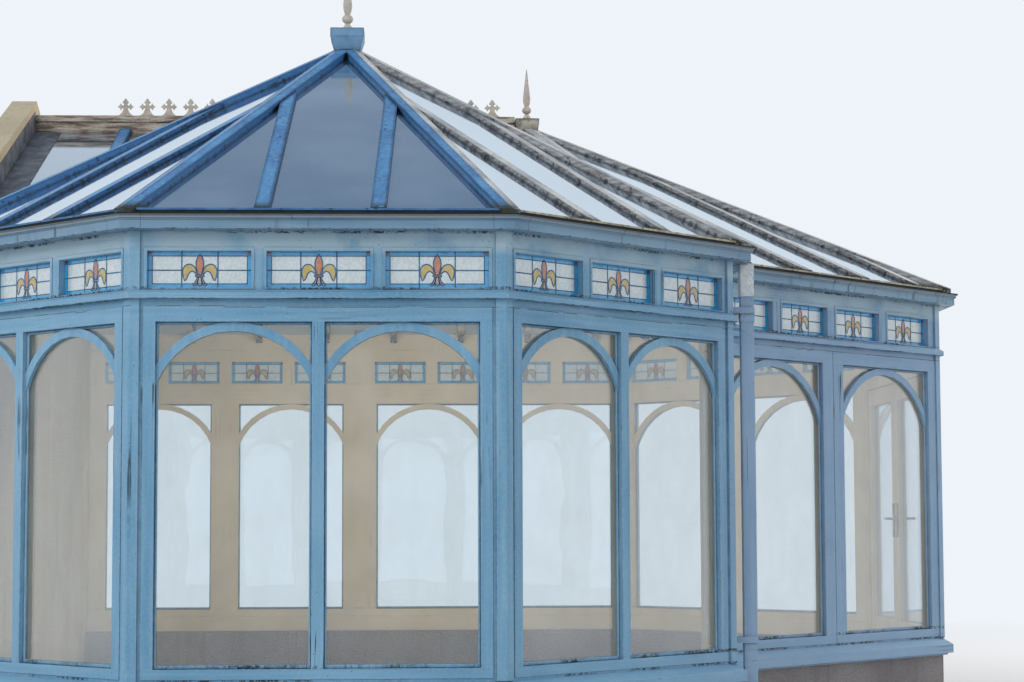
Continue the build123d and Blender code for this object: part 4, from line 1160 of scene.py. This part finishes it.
def addFinials(s):
    made = []
    profile = [(across / 1000, 0, up / 1000) for across, up in s["profile"]]
    for spot, foot in s["feet"]:
        piece = asMesh(lineCurve("finial", '3D', [(profile, False)]))
        editAll(piece)
        bpy.ops.mesh.spin(steps=s["turns"], angle=2 * math.pi, center=(0, 0, 0), axis=(0, 0, 1))
        finishEdit(s["merge"])
        bpy.ops.object.shade_smooth_by_angle(angle=math.radians(s["smooth"]))
        made.append(settle(dress(piece, "cast"), Matrix.Translation(spot + Vector((0, 0, foot)))))
    finials = joined(made, "turnedFinials")
    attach(finials, "building")
    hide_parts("finials")


addFinials(finialSettings)
print("finials in")

# cresting: one casting copied along both ridges

crestSettings = dict(
    half=((0, 120), (11, 106), (16, 98), (21, 90), (9.5, 86), (11.5, 75), (20, 73), (25, 79), (31, 89),
          (35, 79), (41, 72), (50, 66), (41, 60), (35, 53), (31, 43), (25, 53), (20, 59), (12.5, 56),
          (18, 41), (26, 27), (37, 16), (50, 9), (64, 5), (66, 0)),      # mm
    thickness=0.011, rounding=0.0022, pitch=0.133, foot=3.717,
    rail=dict(high=0.006, thickness=0.018, rounding=0.0015), smooth=35,
    ridges=((ridgeLeft, mainApex, 0.479, 0.148), (frontApex, ridgeMeeting, 0.172, 0.130)),
)


def addCresting(s):
    outline = mirrored([(x / 1000, y / 1000) for x, y in s["half"]], 1)
    casting = flatForm("crestCasting", [outline], s["thickness"], s["rounding"], "cast")
    up, rail = Vector((0, 0, 1)), s["rail"]
    copies = []
    for start, end, trimStart, trimEnd in s["ridges"]:      # the trims are bare ends
        way = (end - start).normalized()
        length = (end - start).length - trimStart - trimEnd
        count = round(length / s["pitch"])
        step = length / count
        turn = Matrix((way, up, way.cross(up))).transposed().to_4x4()
        for i in range(count):
            spot = start + way * (trimStart + step * (i + 0.5)) + up * s["foot"]
            copies.append(copyTo(casting, Matrix.Translation(spot) @ turn))
        strip = flatForm("crestRail", [rectangle(0, 0, length, rail["high"])], rail["thickness"],
                         rail["rounding"], "cast")
        spot = start + way * trimStart + up * s["foot"]
        copies.append(settle(strip, Matrix.Translation(spot) @ turn))
    remove(casting)
    crest = joined(copies, "castCresting")
    bpy.ops.object.shade_smooth_by_angle(angle=math.radians(s["smooth"]))
    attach(crest, "building")
    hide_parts("ridge_cresting")


addCresting(crestSettings)
print("cresting in")

# the crumpled outlet between gutter and downpipe

outletSettings = dict(
    low=2.2945, high=2.4555, centre=(1.2824, -2.1548), size=0.0705, inset=0.006, rounding=0.009, cuts=7,
    foldScale=0.030, foldMiddle=0.45, crumple=0.007, smooth=50,
)


def addOutlet(s):
    middle = Matrix.Translation((*s["centre"], (s["low"] + s["high"]) / 2))
    bpy.ops.mesh.primitive_cube_add(size=1)
    sleeve = bpy.context.object
    settle(sleeve, middle @ Matrix.Diagonal((s["size"], s["size"], s["high"] - s["low"], 1)))
    selectFaces(sleeve, lambda face: abs(face.normal.z) > 0.9)
    bpy.ops.mesh.inset(thickness=s["inset"])
    bpy.ops.object.mode_set(mode='OBJECT')
    applyModifier(sleeve, 'BEVEL', width=s["rounding"], segments=3, limit_method='ANGLE')
    editAll(sleeve)
    bpy.ops.mesh.subdivide(number_cuts=s["cuts"])
    bpy.ops.object.mode_set(mode='OBJECT')
    folds = bpy.data.textures.new("outletFolds", 'CLOUDS')
    folds.noise_scale = s["foldScale"]
    applyModifier(sleeve, 'DISPLACE', texture=folds, strength=s["crumple"], mid_level=s["foldMiddle"],
                  texture_coords='LOCAL')
    bpy.ops.object.shade_smooth_by_angle(angle=math.radians(s["smooth"]))
    sleeve.name = "crumpledOutlet"
    dress(sleeve, "sleeve")
    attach(sleeve, "building")


addOutlet(outletSettings)
print("outlet in")
